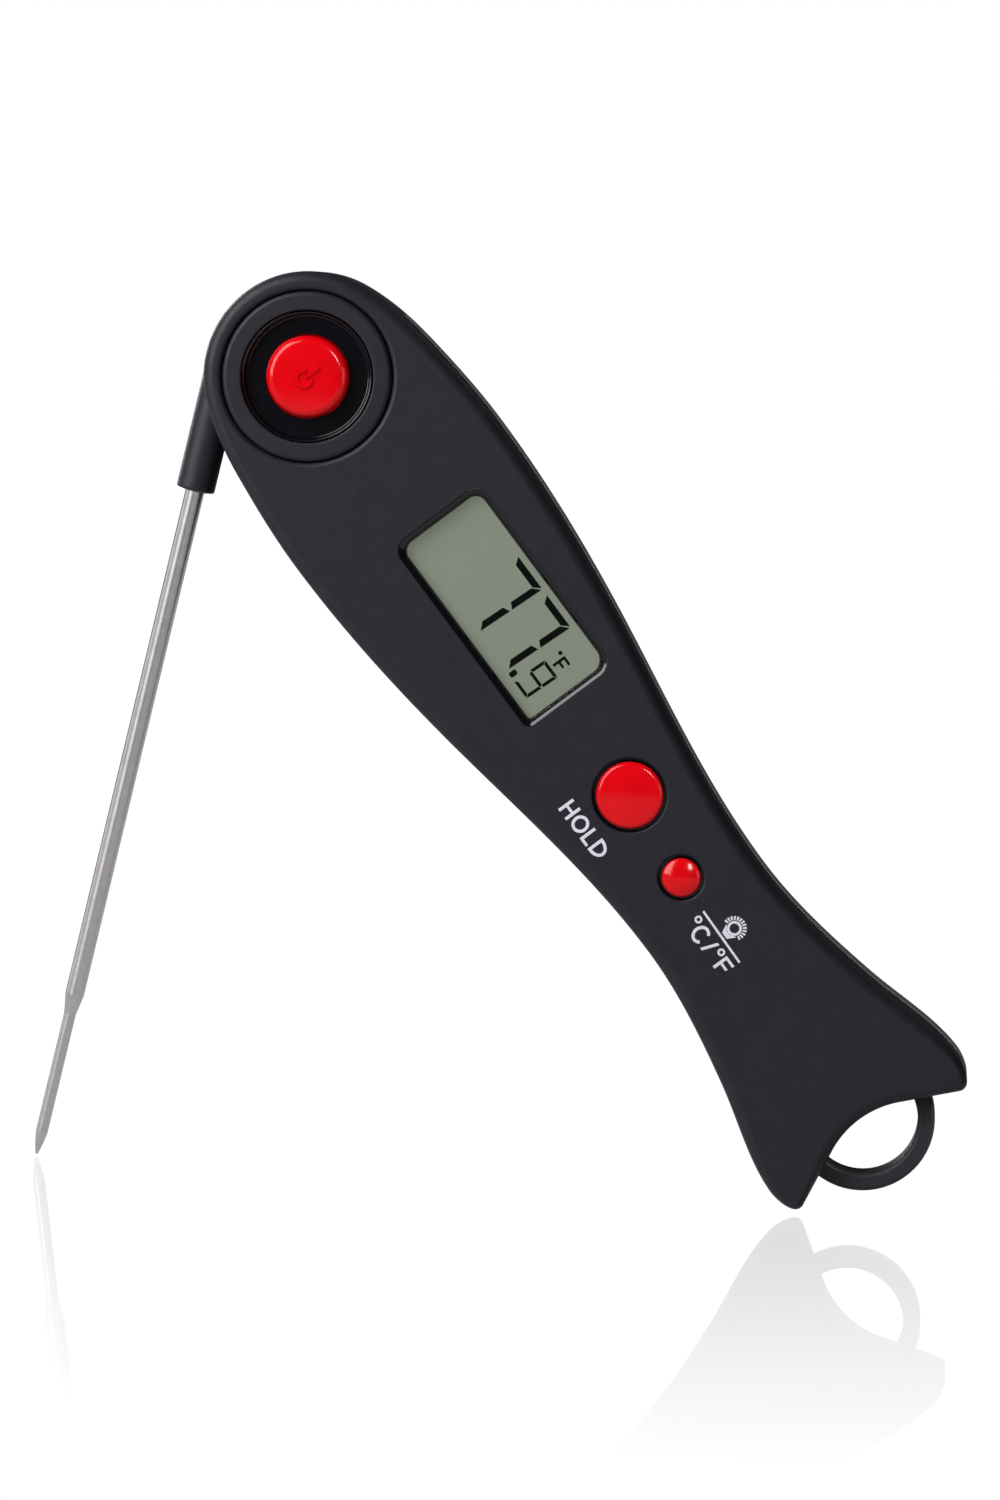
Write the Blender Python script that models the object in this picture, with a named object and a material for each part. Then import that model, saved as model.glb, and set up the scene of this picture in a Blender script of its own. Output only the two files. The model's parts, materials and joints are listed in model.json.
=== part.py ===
"""Folding meat thermometer with a fish-shaped handle.

Everything is drawn in the handle's own frame, in millimetres: x runs from the
hinge to the tail, y across the handle towards the top of the display's digits,
z out of the face, and z = 0 is where the two half shells meet. The probe is
drawn folded shut, and its frame is then turned open about the hinge. Last, the
whole object is stood up on the lower tail fin and the probe's tip, like an
upturned V, with its face towards -Y.
"""

import math

import bmesh
import bpy
from mathutils import Matrix, Vector

MM = 0.001

# Outline of the handle
HEAD_R = 16.4
FLANK = (  # x, half width, slope
    (-7.0, 14.83, 0.45),
    (6.2, 18.2, 0.12),
    (23.0, 19.4, 0.0),
    (63.0, 15.8, -0.16),
    (103.8, 11.0, 0.0),
    (127.6, 14.25, 0.22),
    (145.4, 18.15, 0.02),
)
FIN_TIP_R = 1.4
NOTCH_X = 144.5
NOTCH_R = 15.1
NOTCH_ANGLE = math.radians(25.6)
NOTCH_SIDE = 9.6  # the straight stretch between the notch's arc and a fin's tip

# Depths
FACE_Z = 8.2
BACK_Z = -8.2
SKIN = 1.6
FLOOR_Z = FACE_Z - SKIN  # inner side of each shell's skin, both ways from z = 0
SEAM = 0.15  # half of the gap between the shells
FRONT_EDGE_R = 1.8
BACK_EDGE_R = 1.9
FIN_EDGE_SHARE = 0.5  # how much of the edge's rounding is left at a fin's tip
FIN_EDGE_REACH = 11.0  # the distance from the tip at which it is all there
SIDE_WALL = 1.7
BEYOND = 1.0  # how far a cutter runs past the face it cuts

# Hinge and probe
FOLD_OPEN = math.radians(50.75)  # how far the probe stands open
ARM_OFFSET = 13.25  # from the pivot to the probe's axis
ARM_R = 3.05
ARM_END = 22.0
DRUM_R = 15.4
DRUM_HALF = 3.2
HUB_CLEARANCE = 0.4
HUB_SPACE_R = DRUM_R + 0.5
HUB_WALL_R = HUB_SPACE_R + 1.5
RING_R = 13.3
WELL_R = 10.2
POST_R = 6.0
POST_BORE_R = 3.9
POST_TOP = 1.9
PROBE_R = 1.5
PROBE_THIN_R = 0.95
PROBE_TIP_X = 130.6
PROBE_THIN_X = 107.6  # where the thin measuring end begins
PROBE_TAPER = 3.4  # length of the step down from the shaft to the thin end
PROBE_POINT = 3.8  # length of the pointed tip
PROBE_BUTT_X = 11.0  # the tube's end inside the arm
BEAD_X = PROBE_TIP_X - 4.4  # the thermistor's near end
GROOVE_END_X = 132.2
GROOVE_Y = -11.2
GROOVE_HALF = 2.1
ARM_ZONE_Y = -9.75

# Display
WINDOW = (46.9, 3.26)
WINDOW_SIZE = (33.2, 14.8)
WINDOW_CORNER = 1.9
WINDOW_BEVEL = 1.15  # the window's sloping frame, as wide as it is deep
LENS_SIZE = (35.6, 17.2)
LENS_Z = (6.2, 6.95)
LCD_SIZE = (35.4, 17.6)
LCD_Z = (4.8, 6.05)
BOARD_Z = (2.3, 3.1)
BOARD_END_X = 107.0
BAY_Y = -8.4

# Buttons: centre, radius, flange radius
HOLD = ((82.3, 1.45), 5.3, 6.3)
LIGHT = ((97.4, 0.25), 3.1, 4.1)
POWER = ((0.0, 0.0), 6.4, 7.4)
CAP_TOP = 9.1
BUTTON_GAP = 0.5

# Battery
CELL = (36.0, 3.7)
CELL_R = 10.0
CELL_Z = (-6.0, -2.8)
DOOR_R = 12.2
DOOR_PLUG_R = 11.2

# Hanging loop
LOOP_X = 145.0
LOOP_R = (8.7, 11.4)
LOOP_HALF = 3.5

CASE_SCREWS = ((22.5, 14.9), (70.0, 10.7), (136.2, 12.1), (136.2, -12.1))
BOARD_SCREWS = ((73.0, -4.8), (104.0, -5.0))

COLOURS = {  # base colour, roughness, metallic
    "case": ((0.024, 0.024, 0.029), 0.5, 0.0),
    "gloss_black": ((0.006, 0.006, 0.008), 0.12, 0.0),
    "button_red": ((0.72, 0.004, 0.012), 0.18, 0.0),
    "steel": ((0.62, 0.61, 0.6), 0.28, 1.0),
    "lens": ((0.75, 0.78, 0.74), 0.05, 0.0),
    "lcd": ((0.24, 0.27, 0.2), 0.4, 0.0),
    "diffuser": ((0.85, 0.85, 0.82), 0.4, 0.0),
    "board": ((0.02, 0.13, 0.05), 0.45, 0.0),
    "nickel": ((0.7, 0.68, 0.62), 0.3, 1.0),
    "switch": ((0.03, 0.03, 0.03), 0.5, 0.0),
    "rubber": ((0.015, 0.015, 0.015), 0.8, 0.0),
    "lead": ((0.45, 0.02, 0.02), 0.5, 0.0),
    "bead": ((0.1, 0.07, 0.04), 0.2, 0.0),
}
SMOOTH_UNDER = math.radians(32)


# ---------------------------------------------------------------- outlines


def arc(centre, radius, start, end, steps):
    """Points on an arc, both ends included. Angles are in radians from +x."""
    angles = [start + (end - start) * k / steps for k in range(steps + 1)]
    return [
        (centre[0] + radius * math.cos(a), centre[1] + radius * math.sin(a))
        for a in angles
    ]


def circle(radius, sides, centre=(0.0, 0.0)):
    return arc(centre, radius, 0, math.tau, sides)[:-1]


def hermite(start, end, steps):
    """The smooth curve between two stations of the flank, both ends included."""
    (x0, h0, m0), (x1, h1, m1) = start, end
    run = x1 - x0
    points = []
    for k in range(steps + 1):
        t = k / steps
        height = (
            h0 * (2 * t**3 - 3 * t**2 + 1)
            + m0 * run * (t**3 - 2 * t**2 + t)
            + h1 * (3 * t**2 - 2 * t**3)
            + m1 * run * (t**3 - t**2)
        )
        points.append((x0 + run * t, height))
    return points


def bezier(p0, p1, p2, p3, steps):
    points = []
    for k in range(steps + 1):
        t = k / steps
        weights = ((1 - t) ** 3, 3 * t * (1 - t) ** 2, 3 * t**2 * (1 - t), t**3)
        points.append(
            tuple(
                sum(w * p[axis] for w, p in zip(weights, (p0, p1, p2, p3)))
                for axis in (0, 1)
            )
        )
    return points


def fin_tip_centre():
    """Centre of the round at a fin's tip, tangent to the notch's straight side."""
    along = (math.sin(NOTCH_ANGLE), math.cos(NOTCH_ANGLE))
    inwards = (-along[1], along[0])
    foot = (
        NOTCH_X + NOTCH_R * (1 - math.cos(NOTCH_ANGLE)),
        NOTCH_R * math.sin(NOTCH_ANGLE),
    )
    return tuple(
        foot[i] + NOTCH_SIDE * along[i] + FIN_TIP_R * inwards[i] for i in (0, 1)
    )


def half_outline():
    """The +y half of the handle's outline, from the nose to the notch's middle."""
    first, last = FLANK[0], FLANK[-1]
    points = arc((0, 0), HEAD_R, math.pi, math.atan2(first[1], first[0]), 9)
    for start, end in zip(FLANK, FLANK[1:]):
        points += hermite(start, end, 6)[1:]
    tip = fin_tip_centre()
    shoulder = math.radians(42)
    meets = arc(tip, FIN_TIP_R, shoulder, -NOTCH_ANGLE, 4)
    reach = 1.3
    points += bezier(
        last[:2],
        (last[0] + reach, last[1] + reach * last[2]),
        (
            meets[0][0] - reach * math.sin(shoulder),
            meets[0][1] + reach * math.cos(shoulder),
        ),
        meets[0],
        6,
    )[1:]
    points += meets[1:]
    notch = (NOTCH_X + NOTCH_R, 0)
    points += arc(notch, NOTCH_R, math.pi - NOTCH_ANGLE, math.pi, 6)
    return points


def outline():
    """The handle's whole outline, anticlockwise seen from the front."""
    upper = half_outline()
    lower = [(x, -y) for x, y in upper[1:-1]]
    return lower + upper[::-1]


def inset(points, distance):
    """An anticlockwise outline moved inwards, with mitred corners."""
    moved = []
    for i, point in enumerate(points):
        before = Vector(points[i - 1])
        here = Vector(point)
        after = Vector(points[(i + 1) % len(points)])
        a, b = (here - before).normalized(), (after - here).normalized()
        left = Vector((-a.y, a.x)) + Vector((-b.y, b.x))
        moved.append(tuple(here + left * (2 * distance / left.length_squared)))
    return moved


def edge_outline(points, distance):
    """The outline moved inwards, less so towards the narrow tips of the fins."""
    tip = Vector(fin_tip_centre())
    moved = []
    for point, inner in zip(points, inset(points, distance)):
        from_tip = (Vector((point[0], abs(point[1]))) - tip).length
        share = min(1.0, FIN_EDGE_SHARE + (1 - FIN_EDGE_SHARE) * from_tip / FIN_EDGE_REACH)
        moved.append(tuple(a + (b - a) * share for a, b in zip(point, inner)))
    return moved


def bay_outline(margin=0.0, end_x=None):
    """The room for the electronics, beside the probe's groove and behind the hinge."""
    hinge_side_x, tail_x, upper_y = 12.0, 143.0, 8.0
    side = [
        (x, y)
        for x, y in inset(outline(), SIDE_WALL + margin)
        if y > upper_y and hinge_side_x + 6 * margin < x < tail_x
    ]
    notch = (NOTCH_X + NOTCH_R, 0)
    end_wall, half_turn = 2.0, 0.42
    end = arc(
        notch, NOTCH_R + end_wall + margin, math.pi + half_turn, math.pi - half_turn, 8
    )
    if end_x is not None:
        side = [p for p in side if p[0] < end_x]
        end = [(end_x, BAY_Y + margin), (end_x, side[0][1])]
    wall = HUB_WALL_R + margin
    low = ARM_ZONE_Y + SIDE_WALL + margin
    hinge = arc((0, 0), wall, math.atan2(side[-1][1], hinge_side_x), math.asin(low / wall), 8)
    groove = [(24.0 + margin, low), (24.5 + margin, BAY_Y + margin)]
    corner = [] if end_x is not None else [(end[0][0] - 1.0, BAY_Y + margin)]
    return hinge + groove + corner + end + side


def rounded_rectangle(size, corner, centre=(0.0, 0.0), steps=4):
    half_x, half_y = size[0] / 2 - corner, size[1] / 2 - corner
    points = []
    for quarter, (sx, sy) in enumerate(((1, 1), (-1, 1), (-1, -1), (1, -1))):
        middle = (centre[0] + sx * half_x, centre[1] + sy * half_y)
        start = quarter * math.pi / 2
        points += arc(middle, corner, start, start + math.pi / 2, steps)
    return points


def rectangle(low, high):
    return [low, (high[0], low[1]), high, (low[0], high[1])]


def rectangle_about(centre, size):
    x, y = centre
    half_x, half_y = size[0] / 2, size[1] / 2
    return rectangle((x - half_x, y - half_y), (x + half_x, y + half_y))


# ------------------------------------------------------------------ solids


def new_object(name, mesh):
    obj = bpy.data.objects.new(name, mesh)
    bpy.context.scene.collection.objects.link(obj)
    return obj


def from_bmesh(name, bm):
    bmesh.ops.recalc_face_normals(bm, faces=bm.faces)
    bmesh.ops.scale(bm, vec=(MM, MM, MM), verts=bm.verts)
    mesh = bpy.data.meshes.new(name)
    bm.to_mesh(mesh)
    bm.free()
    mesh.shade_smooth()
    mesh.set_sharp_from_angle(angle=SMOOTH_UNDER)
    return new_object(name, mesh)


def stack(name, loops, closed=False):
    """A solid skinned over loops of equally many points, each a list of (x, y, z).

    The first and last loop are capped, or joined to each other when closed.
    """
    bm = bmesh.new()
    rings = [[bm.verts.new(p) for p in loop] for loop in loops]
    pairs = list(zip(rings, rings[1:])) + ([(rings[-1], rings[0])] if closed else [])
    for low, high in pairs:
        for i in range(len(low)):
            j = (i + 1) % len(low)
            bm.faces.new((low[i], low[j], high[j], high[i]))
    if not closed:
        bm.faces.new(rings[0])
        bm.faces.new(rings[-1])
    return from_bmesh(name, bm)


def at_height(points, z):
    return [(x, y, z) for x, y in points]


def prism(name, points, low, high):
    return stack(name, [at_height(points, low), at_height(points, high)])


def turned(name, profile, sides=28, centre=(0.0, 0.0), closed=False):
    """A solid of revolution about the z axis through centre. The profile is (r, z)."""
    loops = [at_height(circle(r, sides, centre), z) for r, z in profile]
    return stack(name, loops, closed)


def ring(name, inner, outer, low, high, sides=48, centre=(0.0, 0.0)):
    profile = ((inner, low), (outer, low), (outer, high), (inner, high))
    return turned(name, profile, sides, centre, closed=True)


def o_ring(name, major, minor, z, sides=40, centre=(0.0, 0.0)):
    profile = [(major + r, z + dz) for r, dz in circle(minor, 6)]
    return turned(name, profile, sides, centre, closed=True)


def smooth_path(points, steps):
    """A Catmull-Rom curve through the points, with steps spans between each two."""
    line = [Vector(p) for p in points]
    line = [2 * line[0] - line[1], *line, 2 * line[-1] - line[-2]]
    path = []
    for a, b, c, d in zip(line, line[1:], line[2:], line[3:]):
        for k in range(steps):
            t = k / steps
            path.append(
                (2 * b + (c - a) * t + (2 * a - 5 * b + 4 * c - d) * t**2
                 + (3 * b - a - 3 * c + d) * t**3) / 2
            )
    return path + [line[-2]]


def wire(name, path, radius, sides=6):
    """A round wire along a path of vectors."""
    loops = []
    across = (path[1] - path[0]).orthogonal().normalized()
    for i, point in enumerate(path):
        along = (path[min(i + 1, len(path) - 1)] - path[max(i - 1, 0)]).normalized()
        across = (across - along * across.dot(along)).normalized()
        other = along.cross(across)
        loops.append(
            [tuple(point + across * x + other * y) for x, y in circle(radius, sides)]
        )
    return stack(name, loops)


def helper(obj):
    """Marks a cutter: it shapes other solids and is no part of the object."""
    obj.hide_render = True
    obj.display_type = "WIRE"
    return obj


def boolean(obj, tool, operation):
    modifier = obj.modifiers.new(tool.name, "BOOLEAN")
    modifier.operation = operation
    modifier.solver = "EXACT"
    modifier.object = helper(tool)


def cut(obj, *tools):
    for tool in tools:
        boolean(obj, tool, "DIFFERENCE")
    return obj


def join(obj, *tools):
    for tool in tools:
        boolean(obj, tool, "UNION")
    return obj


def paint(obj, finish):
    material = bpy.data.materials.get(finish)
    if material is None:
        colour, roughness, metallic = COLOURS[finish]
        material = bpy.data.materials.new(finish)
        material.use_nodes = True
        shader = material.node_tree.nodes["Principled BSDF"]
        shader.inputs["Base Color"].default_value = (*colour, 1.0)
        shader.inputs["Roughness"].default_value = roughness
        shader.inputs["Metallic"].default_value = metallic
    obj.data.materials.append(material)
    return obj


# -------------------------------------------------------------- the shells


def half_shell(name, face_z, edge_r):
    """A solid half of the handle: straight sides and a rounded edge to its face."""
    side = math.copysign(1, face_z)
    points = outline()
    loops = [at_height(points, side * SEAM)]
    steps = 3
    for k in range(steps + 1):
        angle = math.pi / 2 * k / steps
        z = face_z - side * edge_r * (1 - math.sin(angle))
        loops.append(at_height(edge_outline(points, edge_r * (1 - math.cos(angle))), z))
    return stack(name, loops)


def hinge_and_groove_cutters(prefix, depth, groove_depth):
    """Room for the hub, the arm's swing and the stowed probe, down to a signed depth."""
    mouth = -math.copysign(BEYOND, depth)
    far = HEAD_R * 2
    open_to_x, arm_zone_x = 1.0, ARM_END + 1.5
    start = math.asin(ARM_ZONE_Y / HUB_SPACE_R)
    around_hub = arc((0, 0), HUB_SPACE_R, start, math.acos(open_to_x / HUB_SPACE_R), 16)
    room = [(-far, -far), (arm_zone_x, -far), (arm_zone_x, ARM_ZONE_Y), *around_hub]
    room += [(open_to_x, far), (-far, far)]
    groove = rectangle((ARM_END, -far), (GROOVE_END_X, GROOVE_Y))
    return (
        prism(prefix + "_hinge_room", room, mouth, depth),
        prism(prefix + "_groove", groove, mouth, groove_depth),
    )


def window_cutter():
    """The window's opening, which widens from the lens to the face."""
    loops = []
    for z in (LENS_Z[1] - 0.2, FACE_Z - WINDOW_BEVEL, FACE_Z, FACE_Z + BEYOND):
        grow = min(max(z - FACE_Z + WINDOW_BEVEL, 0.0), WINDOW_BEVEL)
        size = [side + 2 * grow for side in WINDOW_SIZE]
        points = rounded_rectangle(size, WINDOW_CORNER + grow / 2, WINDOW)
        loops.append(at_height(points, z))
    return stack("window", loops)


def loop_slot(name, z):
    """Where the hanging loop passes through a shell's end wall."""
    inner, outer = LOOP_R[0] - 0.25, LOOP_R[1] + 0.25
    low, high = sorted((z, -math.copysign(BEYOND, z)))
    return ring(name, inner, outer, low, high, 40, (LOOP_X, 0.0))


def hole(name, centre, radius, low, high, sides=32):
    return turned(name, ((radius, low), (radius, high)), sides, centre)


def front_shell():
    shell = half_shell("front_shell", FACE_Z, FRONT_EDGE_R)
    cut(shell, prism("front_bay", bay_outline(), -BEYOND, FLOOR_Z))
    depth = DRUM_HALF + HUB_CLEARANCE
    cut(shell, *hinge_and_groove_cutters("front", depth, GROOVE_HALF))
    for i, centre in enumerate(CASE_SCREWS[:3], 1):
        join(shell, hole(f"front_boss_{i}", centre, 2.2, SEAM + 0.2, FLOOR_Z + 0.5, 20))
    for i, centre in enumerate(BOARD_SCREWS, 1):
        join(shell, hole(f"board_post_{i}", centre, 1.6, 3.4, FLOOR_Z + 0.5, 16))
        cut(shell, hole(f"board_pilot_{i}", centre, 0.65, 3.0, 6.2, 12))
    for i, centre in enumerate(CASE_SCREWS, 1):
        cut(shell, hole(f"front_pilot_{i}", centre, 0.95, -BEYOND, 5.6, 12))
    beyond = FACE_Z + BEYOND
    lens_seat = (LENS_SIZE[0] + 0.3, LENS_SIZE[1] + 0.3)
    cut(
        shell,
        hole("ring_opening", (0.0, 0.0), RING_R + 0.2, 3.0, beyond, 48),
        prism("lens_seat", rectangle_about(WINDOW, lens_seat), 6.0, LENS_Z[1] + 0.1),
        window_cutter(),
        hole("hold_opening", HOLD[0], HOLD[1] + BUTTON_GAP, 6.0, beyond, 40),
        hole("light_opening", LIGHT[0], LIGHT[1] + BUTTON_GAP, 6.0, beyond, 32),
        loop_slot("front_loop_slot", LOOP_HALF + 0.15),
    )
    return paint(shell, "case")


def back_shell():
    shell = half_shell("back_shell", BACK_Z, BACK_EDGE_R)
    cut(shell, prism("back_bay", bay_outline(), -FLOOR_Z, BEYOND))
    depth = -DRUM_HALF - HUB_CLEARANCE
    cut(shell, *hinge_and_groove_cutters("back", depth, -GROOVE_HALF))
    below = BACK_Z - BEYOND
    under_hub = ((12.2, -FLOOR_Z), (12.2, -4.1), (15.6, -4.1), (15.6, -3.0))
    cut(shell, turned("under_hub", under_hub, 48))
    join(shell, hole("post", (0.0, 0.0), POST_R, -FLOOR_Z - 0.5, POST_TOP, 40))
    pivot = (
        (2.6, below), (2.6, -6.9), (1.25, -6.9), (1.25, -5.6),
        (POST_BORE_R, -5.6), (POST_BORE_R, POST_TOP + BEYOND),
    )
    cut(
        shell,
        turned("pivot_bore", pivot, 24),
        prism("lead_slot", rectangle((3.4, -1.7), (19.0, 1.7)), -5.9, -3.9),
    )
    for i, centre in enumerate(CASE_SCREWS[:3], 1):
        join(shell, hole(f"back_boss_{i}", centre, 3.0, -FLOOR_Z - 0.5, -SEAM - 0.2, 24))
    for i, centre in enumerate(CASE_SCREWS, 1):
        bore = ((2.2, below), (2.2, -5.2), (1.25, -5.2), (1.25, BEYOND))
        cut(shell, turned(f"screw_bore_{i}", bore, 20, centre))
    join(shell, hole("door_boss", CELL, 13.0, -FLOOR_Z - 0.5, -5.9, 48))
    opening = (
        (DOOR_R + 0.2, below), (DOOR_R + 0.2, -7.25),
        (DOOR_PLUG_R + 0.2, -7.25), (DOOR_PLUG_R + 0.2, -5.0),
    )
    cut(shell, turned("door_opening", opening, 48, CELL))
    cut(shell, loop_slot("back_loop_slot", -LOOP_HALF - 0.15))
    return paint(shell, "case")


def hang_loop():
    inner, outer = LOOP_R
    e = 0.5
    profile = (
        (inner, -LOOP_HALF + e), (inner + e, -LOOP_HALF), (outer - e, -LOOP_HALF),
        (outer, -LOOP_HALF + e), (outer, LOOP_HALF - e), (outer - e, LOOP_HALF),
        (inner + e, LOOP_HALF), (inner, LOOP_HALF - e),
    )
    return paint(turned("hang_loop", profile, 40, (LOOP_X, 0.0), closed=True), "case")


def screw(name, centre, head_z, length, head_r=2.0, shank_r=0.85, finish="nickel"):
    """A pan-head screw driven from the back, with a cross slot."""
    profile = (
        (head_r * 0.7, head_z), (head_r, head_z + 0.35), (head_r, head_z + 1.1),
        (shank_r, head_z + 1.1), (shank_r, head_z + length - 0.6),
        (shank_r * 0.3, head_z + length),
    )
    body = turned(name, profile, 20, centre)
    x, y = centre
    half, width = head_r * 0.6, head_r * 0.14
    for i, (a, b) in enumerate(((half, width), (width, half)), 1):
        slot = rectangle((x - a, y - b), (x + a, y + b))
        cut(body, prism(f"{name}_slot_{i}", slot, head_z - 0.5, head_z + 0.55))
    return paint(body, finish)


# ----------------------------------------------------- display and buttons


def display():
    board_gap = 0.1
    lens = rounded_rectangle(LENS_SIZE, 0.4, WINDOW, 1)
    lcd = rounded_rectangle(LCD_SIZE, 0.4, WINDOW, 1)
    x, y = WINDOW
    guide = rectangle((x - 17.0, y - 8.6), (x + 17.0, y + 6.2))
    strip = rectangle((x - 16.0, y + 6.7), (x + 16.0, y + 8.6))
    led = rectangle((x + 17.6, y - 2.2), (x + 19.4, y + 0.2))
    top = BOARD_Z[1] + board_gap
    return [
        paint(prism("display_lens", lens, *LENS_Z), "lens"),
        paint(prism("lcd_panel", lcd, *LCD_Z), "lcd"),
        paint(prism("backlight_guide", guide, 3.9, LCD_Z[0] - 0.1), "diffuser"),
        paint(prism("lcd_contact_strip", strip, top, LCD_Z[0] - 0.1), "rubber"),
        paint(prism("backlight_led", led, top, 4.6), "diffuser"),
    ]


def main_board():
    board = prism("main_board", bay_outline(0.5, BOARD_END_X), *BOARD_Z)
    for i, centre in enumerate(CASE_SCREWS[:2], 1):
        cut(board, hole(f"board_relief_{i}", centre, 3.4, 2.0, 3.4, 24))
    for i, centre in enumerate(BOARD_SCREWS, 1):
        cut(board, hole(f"board_hole_{i}", centre, 1.0, 2.0, 3.4, 16))
    chip = turned(
        "controller_chip",
        ((4.0, 2.2), (3.8, 1.7), (2.9, 1.3), (1.2, 1.1)),
        24,
        (29.0, 2.0),
    )
    return [paint(board, "board"), paint(chip, "switch")]


def tact_switch(name, centre, base, height):
    """A push switch: its square housing, and the round stem that a button presses."""
    size, stem_r = 4.6, 1.1
    housing = prism(
        name, rounded_rectangle((size, size), 0.5, centre, 1), base, base + height
    )
    cut(housing, hole(name + "_bore", centre, stem_r + 0.15, base + 0.05, 9.0, 20))
    stem = turned(
        name + "_stem",
        ((stem_r, base + height - 0.25), (stem_r, base + height + 0.2),
         (stem_r - 0.2, base + height + 0.35)),
        20,
        centre,
    )
    return [paint(housing, "switch"), paint(stem, "switch")]


def button(name, spec, flange_low, flange_high, top, sides):
    """A domed cap on a flange that stops it from coming out through its opening."""
    centre, radius, flange = spec
    edge, crown = 0.9, 0.25
    profile = [(flange, flange_low), (flange, flange_high), (radius, flange_high)]
    rim = top - crown - edge
    for k in range(4):
        angle = math.pi / 2 * k / 3
        profile.append(
            (radius - edge * (1 - math.cos(angle)), rim + edge * math.sin(angle))
        )
    profile += [(radius * 0.5, top - crown * 0.3), (radius * 0.12, top)]
    return paint(turned(name, profile, sides, centre), "button_red")


def controls():
    base = BOARD_Z[1] + 0.1
    pieces = []
    for name, spec in (("hold", HOLD), ("light", LIGHT)):
        pieces += tact_switch(name + "_switch", spec[0], base, 1.25)
        pieces.append(button(name + "_button", spec, 5.0, 6.25, CAP_TOP, 28))
    return pieces


def power_control():
    """The button in the hinge's middle, with its glossy well, switch and board."""
    well = turned(
        "button_well",
        (
            (6.7, 6.6), (9.2, 6.6), (9.6, 7.6), (WELL_R - 0.2, 7.85), (WELL_R, 7.7),
            (WELL_R, 2.8), (2.2, 2.8), (2.2, -3.0), (1.15, -3.0), (1.15, 1.4),
            (0.6, 1.6), (0.6, 2.0), (1.0, 3.3), (8.6, 3.3), (8.6, 5.9), (6.7, 5.9),
        ),
        40,
        closed=True,
    )
    cut(well, hole("power_lead_hole", (0.6, 3.1), 0.7, 2.0, 3.35, 12))
    board = hole("power_board", (0.0, 0.0), 7.8, 3.45, 4.05, 40)
    switch = tact_switch("power_switch", POWER[0], 4.1, 0.7)
    cap = button("power_button", POWER, 5.25, 5.75, CAP_TOP + 0.1, 36)
    return [paint(well, "gloss_black"), paint(board, "board"), *switch, cap]


# -------------------------------------------------------- hinge and probe


def lead_in_probe():
    """The thermistor's leads: along the tube, then down through the hub."""
    y = -ARM_OFFSET
    return smooth_path(
        ((BEAD_X - 0.2, y, 0), (108.0, y, 0), (60.0, y, 0), (11.0, y, 0), (6.0, y, 0),
         (3.2, y + 0.9, -0.7), (2.0, y + 2.8, -2.0), (1.5, y + 3.7, -3.1)),
        3,
    )


def hinge_hub():
    """The drum that turns in the head, its visible ring, and the probe's arm."""
    floor = 2.5
    profile = (
        (POST_R + 0.2, -DRUM_HALF), (DRUM_R - 0.3, -DRUM_HALF),
        (DRUM_R, -DRUM_HALF + 0.3), (DRUM_R, DRUM_HALF - 0.3),
        (DRUM_R - 0.3, DRUM_HALF), (RING_R, DRUM_HALF),
        (RING_R, 4.8), (RING_R - 0.8, 4.8), (RING_R - 0.8, 6.1), (RING_R, 6.1),
        (RING_R, FACE_Z - 0.25), (RING_R - 0.25, FACE_Z),
        (WELL_R + 0.5, FACE_Z), (WELL_R + 0.2, FACE_Z - 0.3),
        (WELL_R + 0.2, floor), (POST_R + 0.2, floor),
    )
    hub = turned("hinge_hub", profile, 48, closed=True)
    arm = turned(
        "arm",
        ((ARM_R, 0.0), (ARM_R, ARM_END - 0.5), (ARM_R - 0.15, ARM_END - 0.15),
         (ARM_R - 0.5, ARM_END)),
        32,
    )
    along_x = Matrix.Rotation(math.pi / 2, 4, "Y")
    arm.data.transform(Matrix.Translation((0, -ARM_OFFSET * MM, 0)) @ along_x)
    bore = hole("arm_bore", (0.0, 0.0), PROBE_R + 0.06, PROBE_BUTT_X - 0.2, 40, 24)
    bore.data.transform(Matrix.Translation((0, -ARM_OFFSET * MM, 0)) @ along_x)
    path = lead_in_probe()
    passage = [p for p in path if p.x < PROBE_BUTT_X + 4]
    passage.append(passage[-1] + (passage[-1] - passage[-2]) * 2)
    join(hub, arm)
    cut(hub, bore, wire("lead_passage", passage, 0.75))
    return paint(hub, "case")


def probe():
    """The steel tube: a thick shaft that steps down to a thin, pointed end."""
    reach = PROBE_TIP_X
    bore, thin_bore = 1.1, 0.6
    profile = (
        (bore, PROBE_BUTT_X), (PROBE_R, PROBE_BUTT_X),
        (PROBE_R, PROBE_THIN_X - PROBE_TAPER), (PROBE_THIN_R, PROBE_THIN_X),
        (PROBE_THIN_R, reach - PROBE_POINT), (PROBE_THIN_R * 0.62, reach - 1.6),
        (0.12, reach), (0.06, reach - 2.5), (0.5, reach - 3.6), (thin_bore, reach - 4.6),
        (thin_bore, PROBE_THIN_X - 0.5), (bore, PROBE_THIN_X - PROBE_TAPER - 0.6),
    )
    tube = turned("probe_tube", profile, 24, closed=True)
    bead = turned(
        "thermistor",
        ((0.2, BEAD_X), (0.42, BEAD_X + 0.2), (0.42, BEAD_X + 0.7), (0.2, BEAD_X + 0.9)),
        10,
    )
    turn = Matrix.Translation((0, -ARM_OFFSET * MM, 0)) @ Matrix.Rotation(
        math.pi / 2, 4, "Y"
    )
    for piece in (tube, bead):
        piece.data.transform(turn)
    leads = wire("probe_leads", lead_in_probe(), 0.35)
    return [paint(tube, "steel"), paint(bead, "bead"), paint(leads, "lead")]


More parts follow.
